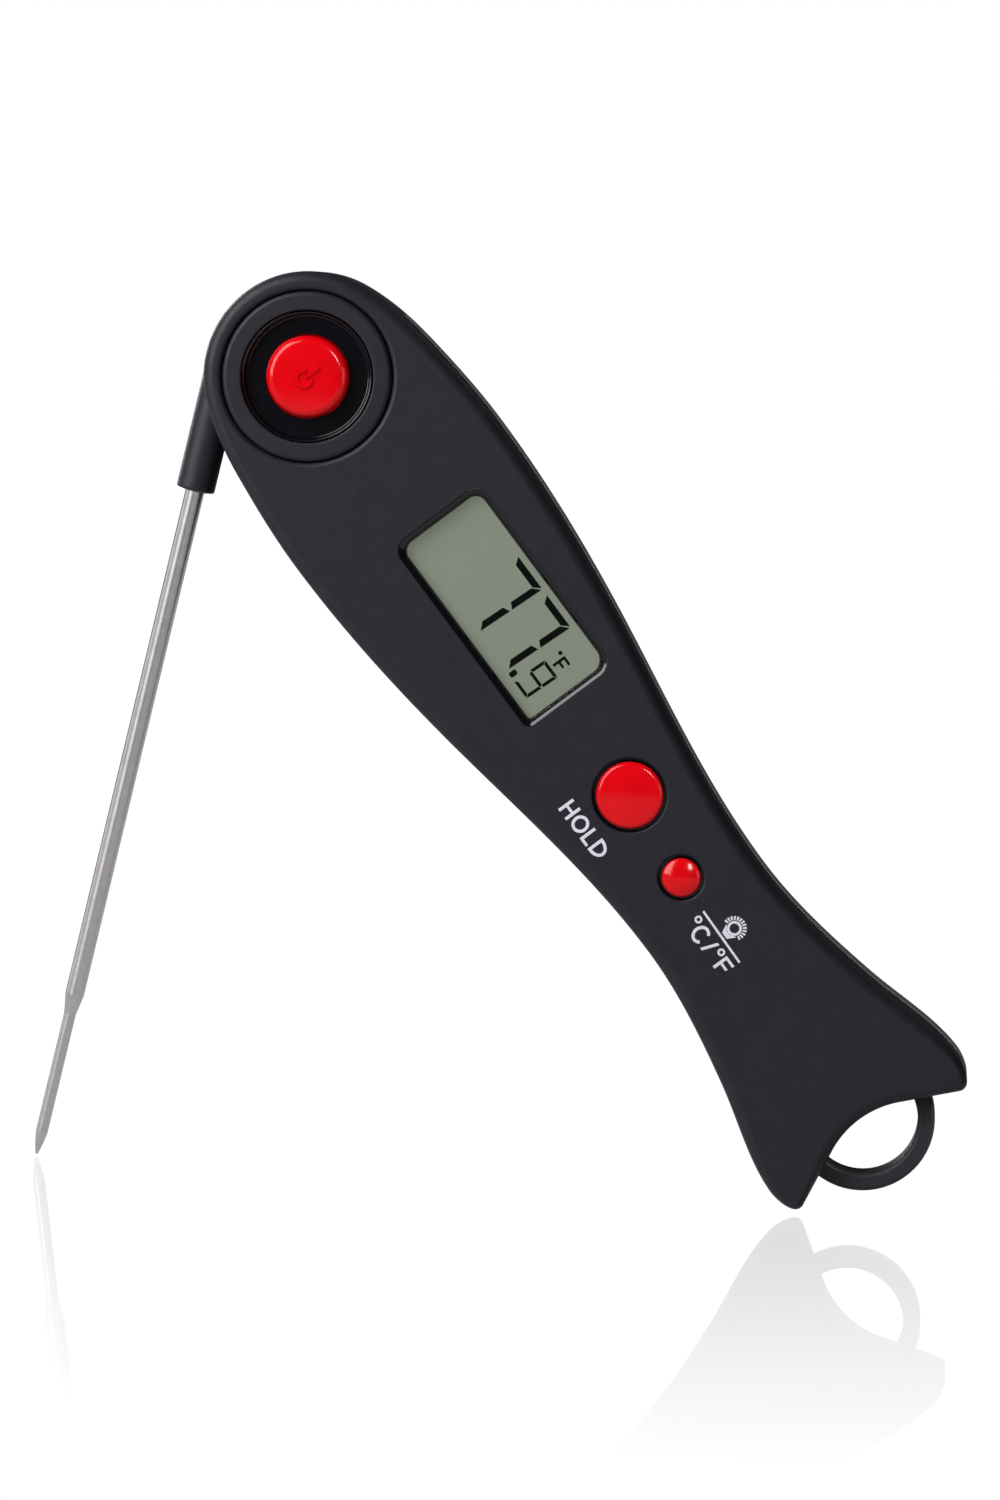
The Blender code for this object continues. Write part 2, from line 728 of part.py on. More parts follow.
def hinge_fittings():
    washer = ring("hub_washer", 12.6, 15.4, -4.0, -3.4, 48)
    x, y = lead_in_probe()[-1].xy
    start = math.atan2(y, x) - FOLD_OPEN
    turns = [start - (math.tau + start) * k / 8 for k in range(8)]
    coil = [
        ((9.6 - 0.15 * k) * math.cos(a), (9.6 - 0.15 * k) * math.sin(a),
         -5.2 if k else -3.75)
        for k, a in enumerate(turns)
    ]
    slack = coil + [(11.0, 0.8, -5.2), (15.0, 0.8, -5.2), (19.0, 0.9, -4.6),
                    (20.6, 1.0, -1.5), (20.8, 1.0, 2.1)]
    feed = ((0.6, 3.1, 3.2), (0.6, 3.05, 0.5), (0.7, 3.0, -3.0), (1.6, 2.2, -4.8),
            (4.5, -0.4, -5.1), (11.0, -0.8, -5.1), (16.0, -0.8, -5.1),
            (19.3, -1.1, -4.4), (20.8, -1.4, -1.5), (21.0, -1.4, 2.1))
    return [
        paint(washer, "switch"),
        paint(wire("hinge_lead", smooth_path(slack, 3), 0.35), "lead"),
        paint(wire("power_lead", smooth_path(feed, 3), 0.35), "lead"),
    ]


# ---------------------------------------------------------------- battery


def battery():
    x, y = CELL
    low, high = CELL_Z
    cell = turned(
        "battery_cell",
        ((CELL_R - 0.4, low), (CELL_R, low + 0.4), (CELL_R, high - 1.0),
         (CELL_R - 0.9, high - 0.5), (CELL_R - 0.9, high)),
        48,
        CELL,
    )
    inner, outer = CELL_R + 0.3, CELL_R + 1.6
    holder = turned(
        "battery_holder",
        ((inner, -5.7), (outer, -5.7), (outer, -1.2), (4.0, -1.2), (4.0, -2.1),
         (inner, -2.1)),
        40,
        CELL,
        closed=True,
    )
    gate = rectangle((x + 8.0, y - 1.8), (x + 13.0, y + 1.8))
    cut(holder, prism("holder_gate", gate, -5.0, -0.5))
    positive = wire(
        "battery_positive_contact",
        smooth_path(
            ((x + 10.5, y, -4.9), (x + 10.6, y, -3.0), (x + 10.4, y, -1.0),
             (x + 11.2, y, 0.6), (x + 11.2, y, 2.15)), 3),
        0.25,
        6,
    )
    negative = wire(
        "battery_negative_contact",
        smooth_path(
            ((x - 1.5, y, -2.45), (x + 0.6, y, -2.3), (x + 2.4, y, -1.4),
             (x + 2.9, y, 0.2), (x + 2.9, y, 2.15)), 3),
        0.25,
        6,
    )
    door = turned(
        "battery_door",
        (
            (DOOR_R - 0.3, BACK_Z + 0.05), (DOOR_R, BACK_Z + 0.25), (DOOR_R, -7.35),
            (DOOR_PLUG_R, -7.35), (DOOR_PLUG_R, -7.05), (DOOR_PLUG_R - 0.6, -7.05),
            (DOOR_PLUG_R - 0.6, -6.35), (DOOR_PLUG_R, -6.35), (DOOR_PLUG_R, -6.15),
        ),
        40,
        CELL,
    )
    slot = rounded_rectangle((2.0, 14.0), 0.9, CELL, 3)
    cut(door, prism("coin_slot", slot, BACK_Z - BEYOND, BACK_Z + 0.75))
    seal = o_ring("battery_door_seal", DOOR_PLUG_R - 0.27, 0.27, -6.7, 48, CELL)
    return [
        paint(cell, "nickel"), paint(holder, "switch"), paint(positive, "nickel"),
        paint(negative, "nickel"), paint(door, "case"), paint(seal, "rubber"),
    ]


# --------------------------------------------------------------- assembly


def lean_angle():
    """How far the handle leans so that its lower fin and the probe's tip are level."""
    fin_x, fin_y = fin_tip_centre()
    cos, sin = math.cos(FOLD_OPEN), math.sin(FOLD_OPEN)
    tip_x = PROBE_TIP_X * cos - ARM_OFFSET * sin
    tip_y = -PROBE_TIP_X * sin - ARM_OFFSET * cos
    reach = Vector((tip_x - fin_x, tip_y + fin_y))
    slope = math.atan2(reach.y, reach.x) + math.pi
    return slope - math.asin(FIN_TIP_R / reach.length)


def empty(name, matrix, parent=None):
    obj = new_object(name, None)
    obj.parent = parent
    obj.matrix_local = matrix
    return obj


def attach(objects, parent):
    for obj in objects:
        obj.parent = parent


def lowest_and_middle():
    """The lowest height, and the middle of the object's box across and in depth."""
    bpy.context.view_layer.update()
    graph = bpy.context.evaluated_depsgraph_get()
    corners = []
    for obj in bpy.data.objects:
        if obj.type == "MESH" and not obj.hide_render:
            shown = obj.evaluated_get(graph)
            corners += [shown.matrix_world @ v.co for v in shown.data.vertices]
    low = [min(c[i] for c in corners) for i in range(3)]
    high = [max(c[i] for c in corners) for i in range(3)]
    return Vector(((low[0] + high[0]) / 2, (low[1] + high[1]) / 2, low[2]))


def main():
    for obj in list(bpy.data.objects):
        bpy.data.objects.remove(obj)

    turning = [
        hinge_hub(),
        paint(o_ring("hub_seal", RING_R - 0.32, 0.42, 5.45, 48), "rubber"),
        *probe(),
    ]
    moving_frame = set(bpy.data.objects)
    fixed = [front_shell(), back_shell(), hang_loop(), *display(), *main_board()]
    fixed += [*controls(), *power_control(), *hinge_fittings(), *battery()]
    for i, centre in enumerate(CASE_SCREWS, 1):
        fixed.append(screw(f"case_screw_{i}", centre, -6.35, 10.0))
    for i, centre in enumerate(BOARD_SCREWS, 1):
        screw_piece = screw(f"board_screw_{i}", centre, 1.1, 4.6, 1.7, 0.55)
        fixed.append(screw_piece)
    fixed.append(screw("pivot_screw", (0.0, 0.0), -8.0, 9.2, 2.3, 1.0))
    everything = set(bpy.data.objects)

    facing = Matrix(((1, 0, 0, 0), (0, 0, -1, 0), (0, 1, 0, 0), (0, 0, 0, 1)))
    upright = Matrix.Rotation(lean_angle(), 4, "Y") @ facing
    stand = empty("stand", upright)
    hinge = empty("hinge", Matrix.Rotation(-FOLD_OPEN, 4, "Z"), stand)
    attach(everything - moving_frame, stand)
    attach(moving_frame, hinge)
    stand.location -= lowest_and_middle()


main()
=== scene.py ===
"""The looks of a folding meat thermometer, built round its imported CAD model.

Pieces are drawn in millimetres in the handle's own frame: x runs from the hinge
to the tail, y across the handle towards the top of the display's digits, and z
out of the face, with z = 0 between the two half shells. The probe's pieces are
drawn folded shut. place() then carries each piece to where its body is at rest.
"""

import json
import math

import bmesh
import bpy
from mathutils import Matrix, Vector


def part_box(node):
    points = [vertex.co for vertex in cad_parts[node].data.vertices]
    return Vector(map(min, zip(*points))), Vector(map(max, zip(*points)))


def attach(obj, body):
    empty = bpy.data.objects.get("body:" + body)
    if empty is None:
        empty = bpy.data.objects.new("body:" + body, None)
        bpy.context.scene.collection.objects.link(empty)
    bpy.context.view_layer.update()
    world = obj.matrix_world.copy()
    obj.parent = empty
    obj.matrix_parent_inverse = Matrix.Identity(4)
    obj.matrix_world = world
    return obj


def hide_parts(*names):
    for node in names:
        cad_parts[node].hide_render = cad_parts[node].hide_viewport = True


MM = 0.001

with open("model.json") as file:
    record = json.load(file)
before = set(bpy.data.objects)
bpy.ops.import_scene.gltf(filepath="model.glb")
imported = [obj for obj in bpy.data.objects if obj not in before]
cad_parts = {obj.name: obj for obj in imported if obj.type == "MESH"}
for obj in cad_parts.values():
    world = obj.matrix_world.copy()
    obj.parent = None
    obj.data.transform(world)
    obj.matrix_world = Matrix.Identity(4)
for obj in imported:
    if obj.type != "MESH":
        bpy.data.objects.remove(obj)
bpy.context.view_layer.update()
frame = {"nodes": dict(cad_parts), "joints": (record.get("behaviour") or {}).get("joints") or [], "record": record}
JOINTS = {joint["name"]: joint for joint in frame["joints"]}


def middle(node):
    """Middle of a CAD node's box, in metres."""
    low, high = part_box(node)
    return (low + high) / 2


def handle_matrix():
    """From the handle's frame, in millimetres, to the row frame, in metres."""
    pivot = Vector(JOINTS["probe_fold"]["pos_m"])
    along = middle("hang_loop") - pivot
    along.y = 0.0
    along.normalize()
    out = Vector((0, -1, 0))
    across = out.cross(along)
    matrix = Matrix((along, across, out)).transposed().to_4x4()
    return Matrix.Translation(pivot) @ matrix @ Matrix.Scale(MM, 4)


HANDLE = handle_matrix()
SHUT = math.radians(JOINTS["probe_fold"]["range_deg"][0])
PROBE = HANDLE @ Matrix.Rotation(SHUT, 4, "Z")  # takes the shut probe to where it rests


def in_handle(node):
    """A CAD node's middle, in the handle's frame and in millimetres."""
    return HANDLE.inverted() @ middle(node)


# Outline of the handle
HEAD_R = 16.4
FLANK = (  # x, half width, slope
    (-7.0, 14.83, 0.45),
    (6.2, 18.2, 0.12),
    (23.0, 19.4, 0.0),
    (63.0, 15.8, -0.16),
    (103.8, 11.0, 0.0),
    (127.6, 14.25, 0.22),
    (145.4, 18.15, 0.02),
)
FIN_TIP_R = 1.4
NOTCH_X = 144.5
NOTCH_R = 15.1
NOTCH_ANGLE = math.radians(25.6)
NOTCH_SIDE = 9.6

# Depths
FACE_Z = 8.2
BACK_Z = -FACE_Z
FRONT, BACK = 1, -1  # the sides of z = 0 that the half shells are on
FLOOR_Z = 6.6  # the inner side of the shells' faces
SEAM = 0.15  # how far each half shell stays from z = 0
EDGE_R = 1.85
FIN_EDGE_SHARE = 0.5  # how much of the edge's rounding is left at a fin's tip
FIN_EDGE_REACH = 11.0  # the distance from the tip at which it is all there
SEAM_BEVEL = 0.18
SIDE_WALL = 1.7
BEYOND = 1.0  # how far a cutter reaches past what it cuts

# Hinge and probe
ARM_OFFSET = -(PROBE.inverted() @ middle("thermistor")).y
ARM_R = 3.05
ARM_END = 22.0
DRUM_R = 15.4
DRUM_HALF = 3.2
DRUM_GAP = 0.4
HUB_SPACE_R = 15.9
RING_R = 13.3
RING_LIP = 0.75
WELL_R = 10.2
POST_R = 6.0
PROBE_R = 1.5
PROBE_THIN_R = 0.95
PROBE_TIP_X = 130.6
PROBE_THIN_X = 107.6
PROBE_TAPER = 3.4
PROBE_POINT = 3.8
GROOVE_END_X = 132.2
GROOVE_Y = -11.2
GROOVE_HALF = 2.1
ARM_ZONE_Y = -9.75

# Display
WINDOW = in_handle("display_lens").xy
WINDOW_SIZE = (33.2, 14.8)
WINDOW_CORNERS = (2.3, 1.7, 1.8, 0.5)  # rounds, from the one at +x +y, anticlockwise
BEZEL_WIDTH = 1.05
LENS_SIZE = (35.6, 17.2)
LENS_Z = (6.2, 6.95)
LCD_SIZE = (35.4, 17.6)
LCD_Z = (4.8, 6.05)

# Buttons: middle, radius, flange radius
HOLD = (in_handle("hold_button").xy, 5.3, 6.3)
LIGHT = (in_handle("light_button").xy, 3.1, 4.1)
POWER = (Vector((0.0, 0.0)), 6.4, 7.4)
BUTTON_GAP = 0.5
CAP_TOP = 9.1

# Back
CELL = in_handle("battery_door").xy
DOOR_R = 12.2
CASE_SCREWS = [in_handle(f"case_screw_{i}").xy for i in (1, 2, 3, 4)]

# Hanging loop
LOOP_X = in_handle("hang_loop").x
LOOP_R = (8.7, 11.4)
LOOP_HALF = 3.5


# ---------------------------------------------------------------- outlines


def arc(centre, radius, start, end, steps):
    """Points on an arc, both ends included. Angles are in radians from +x."""
    angles = [start + (end - start) * k / steps for k in range(steps + 1)]
    return [
        (centre[0] + radius * math.cos(a), centre[1] + radius * math.sin(a))
        for a in angles
    ]


def circle(radius, sides, centre):
    return arc(centre, radius, 0, math.tau, sides)[:-1]


def hermite(start, end, steps):
    """The smooth curve between two stations of the flank, both ends included."""
    (x0, h0, m0), (x1, h1, m1) = start, end
    run = x1 - x0
    points = []
    for k in range(steps + 1):
        t = k / steps
        height = (
            h0 * (2 * t**3 - 3 * t**2 + 1)
            + m0 * run * (t**3 - 2 * t**2 + t)
            + h1 * (3 * t**2 - 2 * t**3)
            + m1 * run * (t**3 - t**2)
        )
        points.append((x0 + run * t, height))
    return points


def bezier(p0, p1, p2, p3, steps):
    points = []
    for k in range(steps + 1):
        t = k / steps
        weights = ((1 - t) ** 3, 3 * t * (1 - t) ** 2, 3 * t**2 * (1 - t), t**3)
        points.append(
            tuple(
                sum(w * p[axis] for w, p in zip(weights, (p0, p1, p2, p3)))
                for axis in (0, 1)
            )
        )
    return points


def fin_tip_centre():
    """Centre of the round at a fin's tip, tangent to the notch's straight side."""
    along = (math.sin(NOTCH_ANGLE), math.cos(NOTCH_ANGLE))
    inwards = (-along[1], along[0])
    foot = (
        NOTCH_X + NOTCH_R * (1 - math.cos(NOTCH_ANGLE)),
        NOTCH_R * math.sin(NOTCH_ANGLE),
    )
    return tuple(
        foot[i] + NOTCH_SIDE * along[i] + FIN_TIP_R * inwards[i] for i in (0, 1)
    )


def half_outline():
    """The +y half of the handle's outline, from the nose to the notch's middle."""
    first, last = FLANK[0], FLANK[-1]
    points = arc((0, 0), HEAD_R, math.pi, math.atan2(first[1], first[0]), 40)
    for start, end in zip(FLANK, FLANK[1:]):
        points += hermite(start, end, 20)[1:]
    tip = fin_tip_centre()
    shoulder = math.radians(42)
    meets = arc(tip, FIN_TIP_R, shoulder, -NOTCH_ANGLE, 12)
    reach = 1.3
    points += bezier(
        last[:2],
        (last[0] + reach, last[1] + reach * last[2]),
        (
            meets[0][0] - reach * math.sin(shoulder),
            meets[0][1] + reach * math.cos(shoulder),
        ),
        meets[0],
        20,
    )[1:]
    points += meets[1:]
    notch = (NOTCH_X + NOTCH_R, 0)
    points += arc(notch, NOTCH_R, math.pi - NOTCH_ANGLE, math.pi, 16)
    return points


def outline():
    """The handle's whole outline, anticlockwise seen from the front."""
    upper = half_outline()
    lower = [(x, -y) for x, y in upper[1:-1]]
    return lower + upper[::-1]


def inset(points, distance):
    """An anticlockwise outline moved inwards, with mitred corners."""
    moved = []
    for i, point in enumerate(points):
        before = Vector(points[i - 1])
        here = Vector(point)
        after = Vector(points[(i + 1) % len(points)])
        a, b = (here - before).normalized(), (after - here).normalized()
        left = Vector((-a.y, a.x)) + Vector((-b.y, b.x))
        moved.append(tuple(here + left * (2 * distance / left.length_squared)))
    return moved


def edge_outline(points, distance):
    """The outline moved inwards, less so towards the narrow tips of the fins."""
    tip = Vector(fin_tip_centre())
    moved = []
    for point, inner in zip(points, inset(points, distance)):
        from_tip = (Vector((point[0], abs(point[1]))) - tip).length
        share = min(1.0, FIN_EDGE_SHARE + (1 - FIN_EDGE_SHARE) * from_tip / FIN_EDGE_REACH)
        moved.append(tuple(a + (b - a) * share for a, b in zip(point, inner)))
    return moved


def cornered_rectangle(size, corners, centre, steps=10):
    """A rectangle with its own round at each corner, from +x +y on, anticlockwise."""
    points = []
    for quarter, (sx, sy) in enumerate(((1, 1), (-1, 1), (-1, -1), (1, -1))):
        corner = corners[quarter]
        round_middle = (
            centre[0] + sx * (size[0] / 2 - corner),
            centre[1] + sy * (size[1] / 2 - corner),
        )
        start = quarter * math.pi / 2
        points += arc(round_middle, corner, start, start + math.pi / 2, steps)
    return points


def rounded_rectangle(size, corner, centre, steps=10):
    return cornered_rectangle(size, (corner,) * 4, centre, steps)


def rectangle(low, high):
    return [low, (high[0], low[1]), high, (low[0], high[1])]


def rounded(profile, steps=5):
    """A profile of (x, y, round radius) corners as points, its corners rounded."""
    points = []
    count = len(profile)
    for i, (x, y, radius) in enumerate(profile):
        here = Vector((x, y))
        if radius == 0:
            points.append((x, y))
            continue
        before = Vector(profile[i - 1][:2]) - here
        after = Vector(profile[(i + 1) % count][:2]) - here
        half_angle = before.angle(after) / 2
        reach = radius / math.tan(half_angle)
        start = here + before.normalized() * reach
        end = here + after.normalized() * reach
        points += bezier(
            start, start.lerp(here, 0.56), end.lerp(here, 0.56), end, steps
        )
    return points


# ------------------------------------------------------------------ solids


def new_object(name, data):
    obj = bpy.data.objects.new(name, data)
    bpy.context.scene.collection.objects.link(obj)
    return obj


def from_bmesh(name, bm):
    bmesh.ops.recalc_face_normals(bm, faces=bm.faces)
    mesh = bpy.data.meshes.new(name)
    bm.to_mesh(mesh)
    bm.free()
    return new_object(name, mesh)


def stack(name, loops, closed=False):
    """A solid skinned over loops of equally many points, capped or joined in a ring."""
    bm = bmesh.new()
    rings = [[bm.verts.new(p) for p in loop] for loop in loops]
    pairs = list(zip(rings, rings[1:])) + ([(rings[-1], rings[0])] if closed else [])
    for low, high in pairs:
        for i in range(len(low)):
            j = (i + 1) % len(low)
            bm.faces.new((low[i], low[j], high[j], high[i]))
    if not closed:
        bm.faces.new(rings[0])
        bm.faces.new(rings[-1])
    return from_bmesh(name, bm)


def at_height(points, z):
    return [(x, y, z) for x, y in points]


def prism(name, points, low, high):
    return stack(name, [at_height(points, low), at_height(points, high)])


def turned(name, profile, sides, centre=(0.0, 0.0), closed=False):
    """A solid of revolution about the z axis through centre. The profile is (r, z)."""
    loops = [at_height(circle(r, sides, centre), z) for r, z in profile]
    return stack(name, loops, closed)


def boolean(obj, tools, operation):
    """Cuts or joins obj with the tools for good, and deletes them."""
    for tool in tools:
        modifier = obj.modifiers.new(tool.name, "BOOLEAN")
        modifier.operation = operation
        modifier.solver = "EXACT"
        modifier.object = tool
    bpy.context.view_layer.update()
    graph = bpy.context.evaluated_depsgraph_get()
    mesh = bpy.data.meshes.new_from_object(obj.evaluated_get(graph))
    obj.modifiers.clear()
    obj.data = mesh
    for tool in tools:
        bpy.data.objects.remove(tool)


def cut(obj, *tools):
    boolean(obj, tools, "DIFFERENCE")


def join(obj, *tools):
    boolean(obj, tools, "UNION")


def place(obj, body, replaces=(), matrix=HANDLE, sharp_above=32.0):
    """Carries a piece to the row frame, smooths it and fixes it to its body."""
    obj.data.transform(matrix)
    obj.data.shade_smooth()
    obj.data.set_sharp_from_angle(angle=math.radians(sharp_above))
    weighted = obj.modifiers.new("even_normals", "WEIGHTED_NORMAL")
    weighted.keep_sharp = True
    weighted.weight = 100
    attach(obj, body)
    if replaces:
        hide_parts(*replaces)


# -------------------------------------------------------------- materials


NOISE_RANGE = (0.3, 0.7)  # where nearly all of a noise's values lie


def principled(name, colour, roughness, metallic=0.0, specular=0.5):
    """A material with one Principled shader, its node tree and that shader."""
    material = bpy.data.materials.new(name)
    material.use_nodes = True
    tree = material.node_tree
    shader = tree.nodes["Principled BSDF"]
    shader.inputs["Base Color"].default_value = (*colour, 1.0)
    shader.inputs["Roughness"].default_value = roughness
    shader.inputs["Metallic"].default_value = metallic
    shader.inputs["Specular IOR Level"].default_value = specular
    return material, tree, shader


def noise(tree, scale, detail, drawn_out=1.0, lean=0.0):
    """Noise in the object's own coordinates. scale is in waves per millimetre.

    It can be drawn out along a direction that leans from z towards x.
    """
    coordinates = tree.nodes.new("ShaderNodeTexCoord")
    mapping = tree.nodes.new("ShaderNodeMapping")
    texture = tree.nodes.new("ShaderNodeTexNoise")
    mapping.vector_type = "TEXTURE"
    mapping.inputs["Rotation"].default_value = (0.0, lean, 0.0)
    mapping.inputs["Scale"].default_value = (1.0, 1.0, drawn_out)
    texture.inputs["Scale"].default_value = scale / MM
    texture.inputs["Detail"].default_value = detail
    tree.links.new(coordinates.outputs["Object"], mapping.inputs["Vector"])
    tree.links.new(mapping.outputs["Vector"], texture.inputs["Vector"])
    return texture.outputs["Fac"]


def bump(tree, shader, height, depth, strength):
    """Bumps of a depth in millimetres."""
    node = tree.nodes.new("ShaderNodeBump")
    node.inputs["Strength"].default_value = strength
    node.inputs["Distance"].default_value = depth * MM
    tree.links.new(height, node.inputs["Height"])
    tree.links.new(node.outputs["Normal"], shader.inputs["Normal"])


def remap(tree, source, before, after):
    """A signal carried from the range before to the range after, and held at its ends."""
    node = tree.nodes.new("ShaderNodeMapRange")
    sockets = ("From Min", "From Max", "To Min", "To Max")
    for socket, value in zip(sockets, (*before, *after)):
        node.inputs[socket].default_value = value
    tree.links.new(source, node.inputs["Value"])
    return node.outputs["Result"]


def spread(tree, source, low, high, target):
    """Spreads a noise over the range low to high and links it to target."""
    tree.links.new(remap(tree, source, NOISE_RANGE, (low, high)), target)


def tint(tree, source, dark, light, target):
    """Blends two colours by a noise and links the result to target."""
    ramp = tree.nodes.new("ShaderNodeValToRGB")
    for i, colour in enumerate((dark, light)):
        ramp.color_ramp.elements[i].position = NOISE_RANGE[i]
        ramp.color_ramp.elements[i].color = (*colour, 1.0)
    tree.links.new(source, ramp.inputs["Fac"])
    tree.links.new(ramp.outputs["Color"], target)


def moulded_plastic():
    """Matte charcoal plastic with a fine spark-eroded texture."""
    material, tree, shader = principled("charcoal_plastic", (0.018, 0.0175, 0.0225), 0.5,
                                        specular=0.3)
    cloud = noise(tree, 0.35, 4.0)
    tint(tree, cloud, (0.0148, 0.0141, 0.021), (0.0184, 0.0175, 0.0254),
         shader.inputs["Base Color"])
    grain = noise(tree, 2.6, 3.0)
    spread(tree, grain, 0.42, 0.58, shader.inputs["Roughness"])
    bump(tree, shader, grain, 0.03, 0.4)
    return material


def gloss_black():
    material, tree, shader = principled("gloss_black", (0.003, 0.003, 0.005), 0.15, specular=0.45)
    spread(tree, noise(tree, 0.4, 2.0), 0.13, 0.18, shader.inputs["Roughness"])
    bump(tree, shader, noise(tree, 0.12, 1.0), 0.003, 0.2)
    return material


def gloss_red():
    material, tree, shader = principled("gloss_red", (0.6, 0.0006, 0.004), 0.15, specular=0.3)
    cloud = noise(tree, 0.25, 3.0)
    tint(tree, cloud, (0.57, 0.0004, 0.003), (0.63, 0.0008, 0.005),
         shader.inputs["Base Color"])
    bump(tree, shader, noise(tree, 0.4, 1.0), 0.003, 0.15)
    return material


def drawn_steel():
    """Steel with fine lines along the tube, as it comes from the drawing die."""
    along = PROBE.to_3x3() @ Vector((1, 0, 0))
    lean = math.atan2(along.x, along.z)
    material, tree, shader = principled(
        "drawn_steel", (0.64, 0.62, 0.61), 0.33, metallic=1.0
    )
    lines = noise(tree, 9.0, 2.0, 60.0, lean)
    spread(tree, lines, 0.3, 0.36, shader.inputs["Roughness"])
    tint(tree, noise(tree, 0.8, 2.0), (0.6, 0.58, 0.575), (0.68, 0.66, 0.65),
         shader.inputs["Base Color"])
    bump(tree, shader, lines, 0.001, 0.12)
    return material


def nickel():
    material, tree, shader = principled("nickel", (0.66, 0.64, 0.6), 0.3, metallic=1.0)
    spread(tree, noise(tree, 2.0, 3.0), 0.22, 0.38, shader.inputs["Roughness"])
    return material


def clear_window():
    """The clear window: a thin gloss over the display, seen through."""
    material, tree, shader = principled("clear_window", (0.02, 0.022, 0.02), 0.04)
    shader.inputs["Alpha"].default_value = 0.12
    spread(tree, noise(tree, 0.1, 1.0), 0.03, 0.06, shader.inputs["Roughness"])
    return material


def lcd_glass():
    """The display's grey-green ground, a satin polariser, with a faint painted glow that stands in for light and
    evens out its shading.
    """
    material, tree, shader = principled("lcd_glass", (0.16, 0.18, 0.135), 0.35, specular=0.1)
    # Painted light: a faint glow that brightens the display and evens out its shading.
    shader.inputs["Emission Color"].default_value = (0.72, 0.8, 0.63, 1.0)
    shader.inputs["Emission Strength"].default_value = 0.25
    tint(tree, noise(tree, 0.06, 2.0), (0.155, 0.175, 0.131), (0.165, 0.185, 0.139),
         shader.inputs["Base Color"])
    bump(tree, shader, noise(tree, 8.0, 2.0), 0.003, 0.2)
    return material


def plain(name, colour, roughness, change=0.12, scale=1.0, specular=0.5):
    """An inner piece's material: its colour and sheen vary a little."""
    material, tree, shader = principled(name, colour, roughness, specular=specular)
    dark = [c * (1 - change) for c in colour]
    light = [min(c * (1 + change), 1.0) for c in colour]
    signal = noise(tree, scale, 3.0)
    tint(tree, signal, dark, light, shader.inputs["Base Color"])
    bump(tree, shader, signal, 0.01, 0.2)
    return material


MATERIALS = {
    "case_plastic": moulded_plastic(),
    "gloss_black": gloss_black(),
    "button_red": gloss_red(),
    "steel": drawn_steel(),
    "window": clear_window(),
    "lcd": lcd_glass(),
    "nickel": nickel(),
    "diffuser": plain("diffuser", (0.8, 0.8, 0.76), 0.4),
    "circuit_board": plain("circuit_board", (0.02, 0.13, 0.05), 0.4),
    "component_black": plain("component_black", (0.03, 0.03, 0.03), 0.5),
    "rubber": plain("rubber", (0.02, 0.02, 0.02), 0.8),
    "lead_red": plain("lead_red", (0.45, 0.02, 0.02), 0.5),
    "bead": plain("bead", (0.1, 0.07, 0.04), 0.25),
    "print_white": plain("print_white", (0.87, 0.84, 0.97), 0.5, 0.03, 4.0),
    "lcd_ink": plain("lcd_ink", (0.003, 0.004, 0.003), 0.6, 0.1, 1.0, specular=0.0),
}


def paint(obj, finish):
    obj.data.materials.clear()
    obj.data.materials.append(MATERIALS[finish])


# -------------------------------------------------------------- the shells


def half_shell(name, side):
    """A solid half of the handle: straight sides and a rounded edge to its face."""
    points = outline()
    loops = [
        at_height(inset(points, SEAM_BEVEL), side * SEAM),
        at_height(points, side * (SEAM + SEAM_BEVEL)),
    ]
    steps = 8
    for k in range(steps + 1):
        angle = math.pi / 2 * k / steps
        z = side * (FACE_Z - EDGE_R * (1 - math.sin(angle)))
        loops.append(at_height(edge_outline(points, EDGE_R * (1 - math.cos(angle))), z))
    return stack(name, loops)


def hinge_room(side):
    """Room in one half shell for the hub and the arm's swing."""
    far = HEAD_R * 2
    open_to_x, arm_zone_x = 1.0, ARM_END + 1.5
    start = math.asin(ARM_ZONE_Y / HUB_SPACE_R)
    around_hub = arc((0, 0), HUB_SPACE_R, start, math.acos(open_to_x / HUB_SPACE_R), 40)
    room = [(-far, -far), (arm_zone_x, -far), (arm_zone_x, ARM_ZONE_Y), *around_hub]
    room += [(open_to_x, far), (-far, far)]
    return prism("hinge_room", room, -side * BEYOND, side * (DRUM_HALF + DRUM_GAP))


def groove(side):
    """One half of the channel along the handle's edge that the probe folds into."""
    far = HEAD_R * 2
    end_r, end_lean = 1.2, 0.8
    points = [(ARM_END, -far), (GROOVE_END_X + end_lean, -far)]
    points += arc((GROOVE_END_X - end_r, GROOVE_Y - end_r), end_r, 0, math.pi / 2, 6)
    points += [(ARM_END, GROOVE_Y)]
    return prism("groove", points, -side * BEYOND, side * GROOVE_HALF)


def loop_slot(side):
    """Where the hanging loop passes through one half shell's end wall."""
    gap, end_gap = 0.2, 0.15
    inner, outer = LOOP_R[0] - gap, LOOP_R[1] + gap
    low, high = sorted((-side * BEYOND, side * (LOOP_HALF + end_gap)))
    profile = ((inner, low), (outer, low), (outer, high), (inner, high))
    return turned("loop_slot", profile, 96, (LOOP_X, 0.0), closed=True)


def flared_hole(name, radius, lip, floor_z, sides, centre=(0.0, 0.0)):
    """A round opening in the face whose mouth is rounded off by the lip."""
    profile = [(radius, floor_z)]
    steps = 6
    for k in range(steps + 1):
        angle = math.pi / 2 * k / steps
        profile.append(
            (radius + lip * (1 - math.cos(angle)), FACE_Z - lip * (1 - math.sin(angle)))
        )
    profile.append((radius + lip, FACE_Z + BEYOND))
    return turned(name, profile, sides, centre)


def window_outline(grow):
    """The window's outline, moved outwards. Its corners' rounds grow a little less."""
    size = [side + 2 * grow for side in WINDOW_SIZE]
    return cornered_rectangle(size, [c + grow * 0.6 for c in WINDOW_CORNERS], WINDOW)


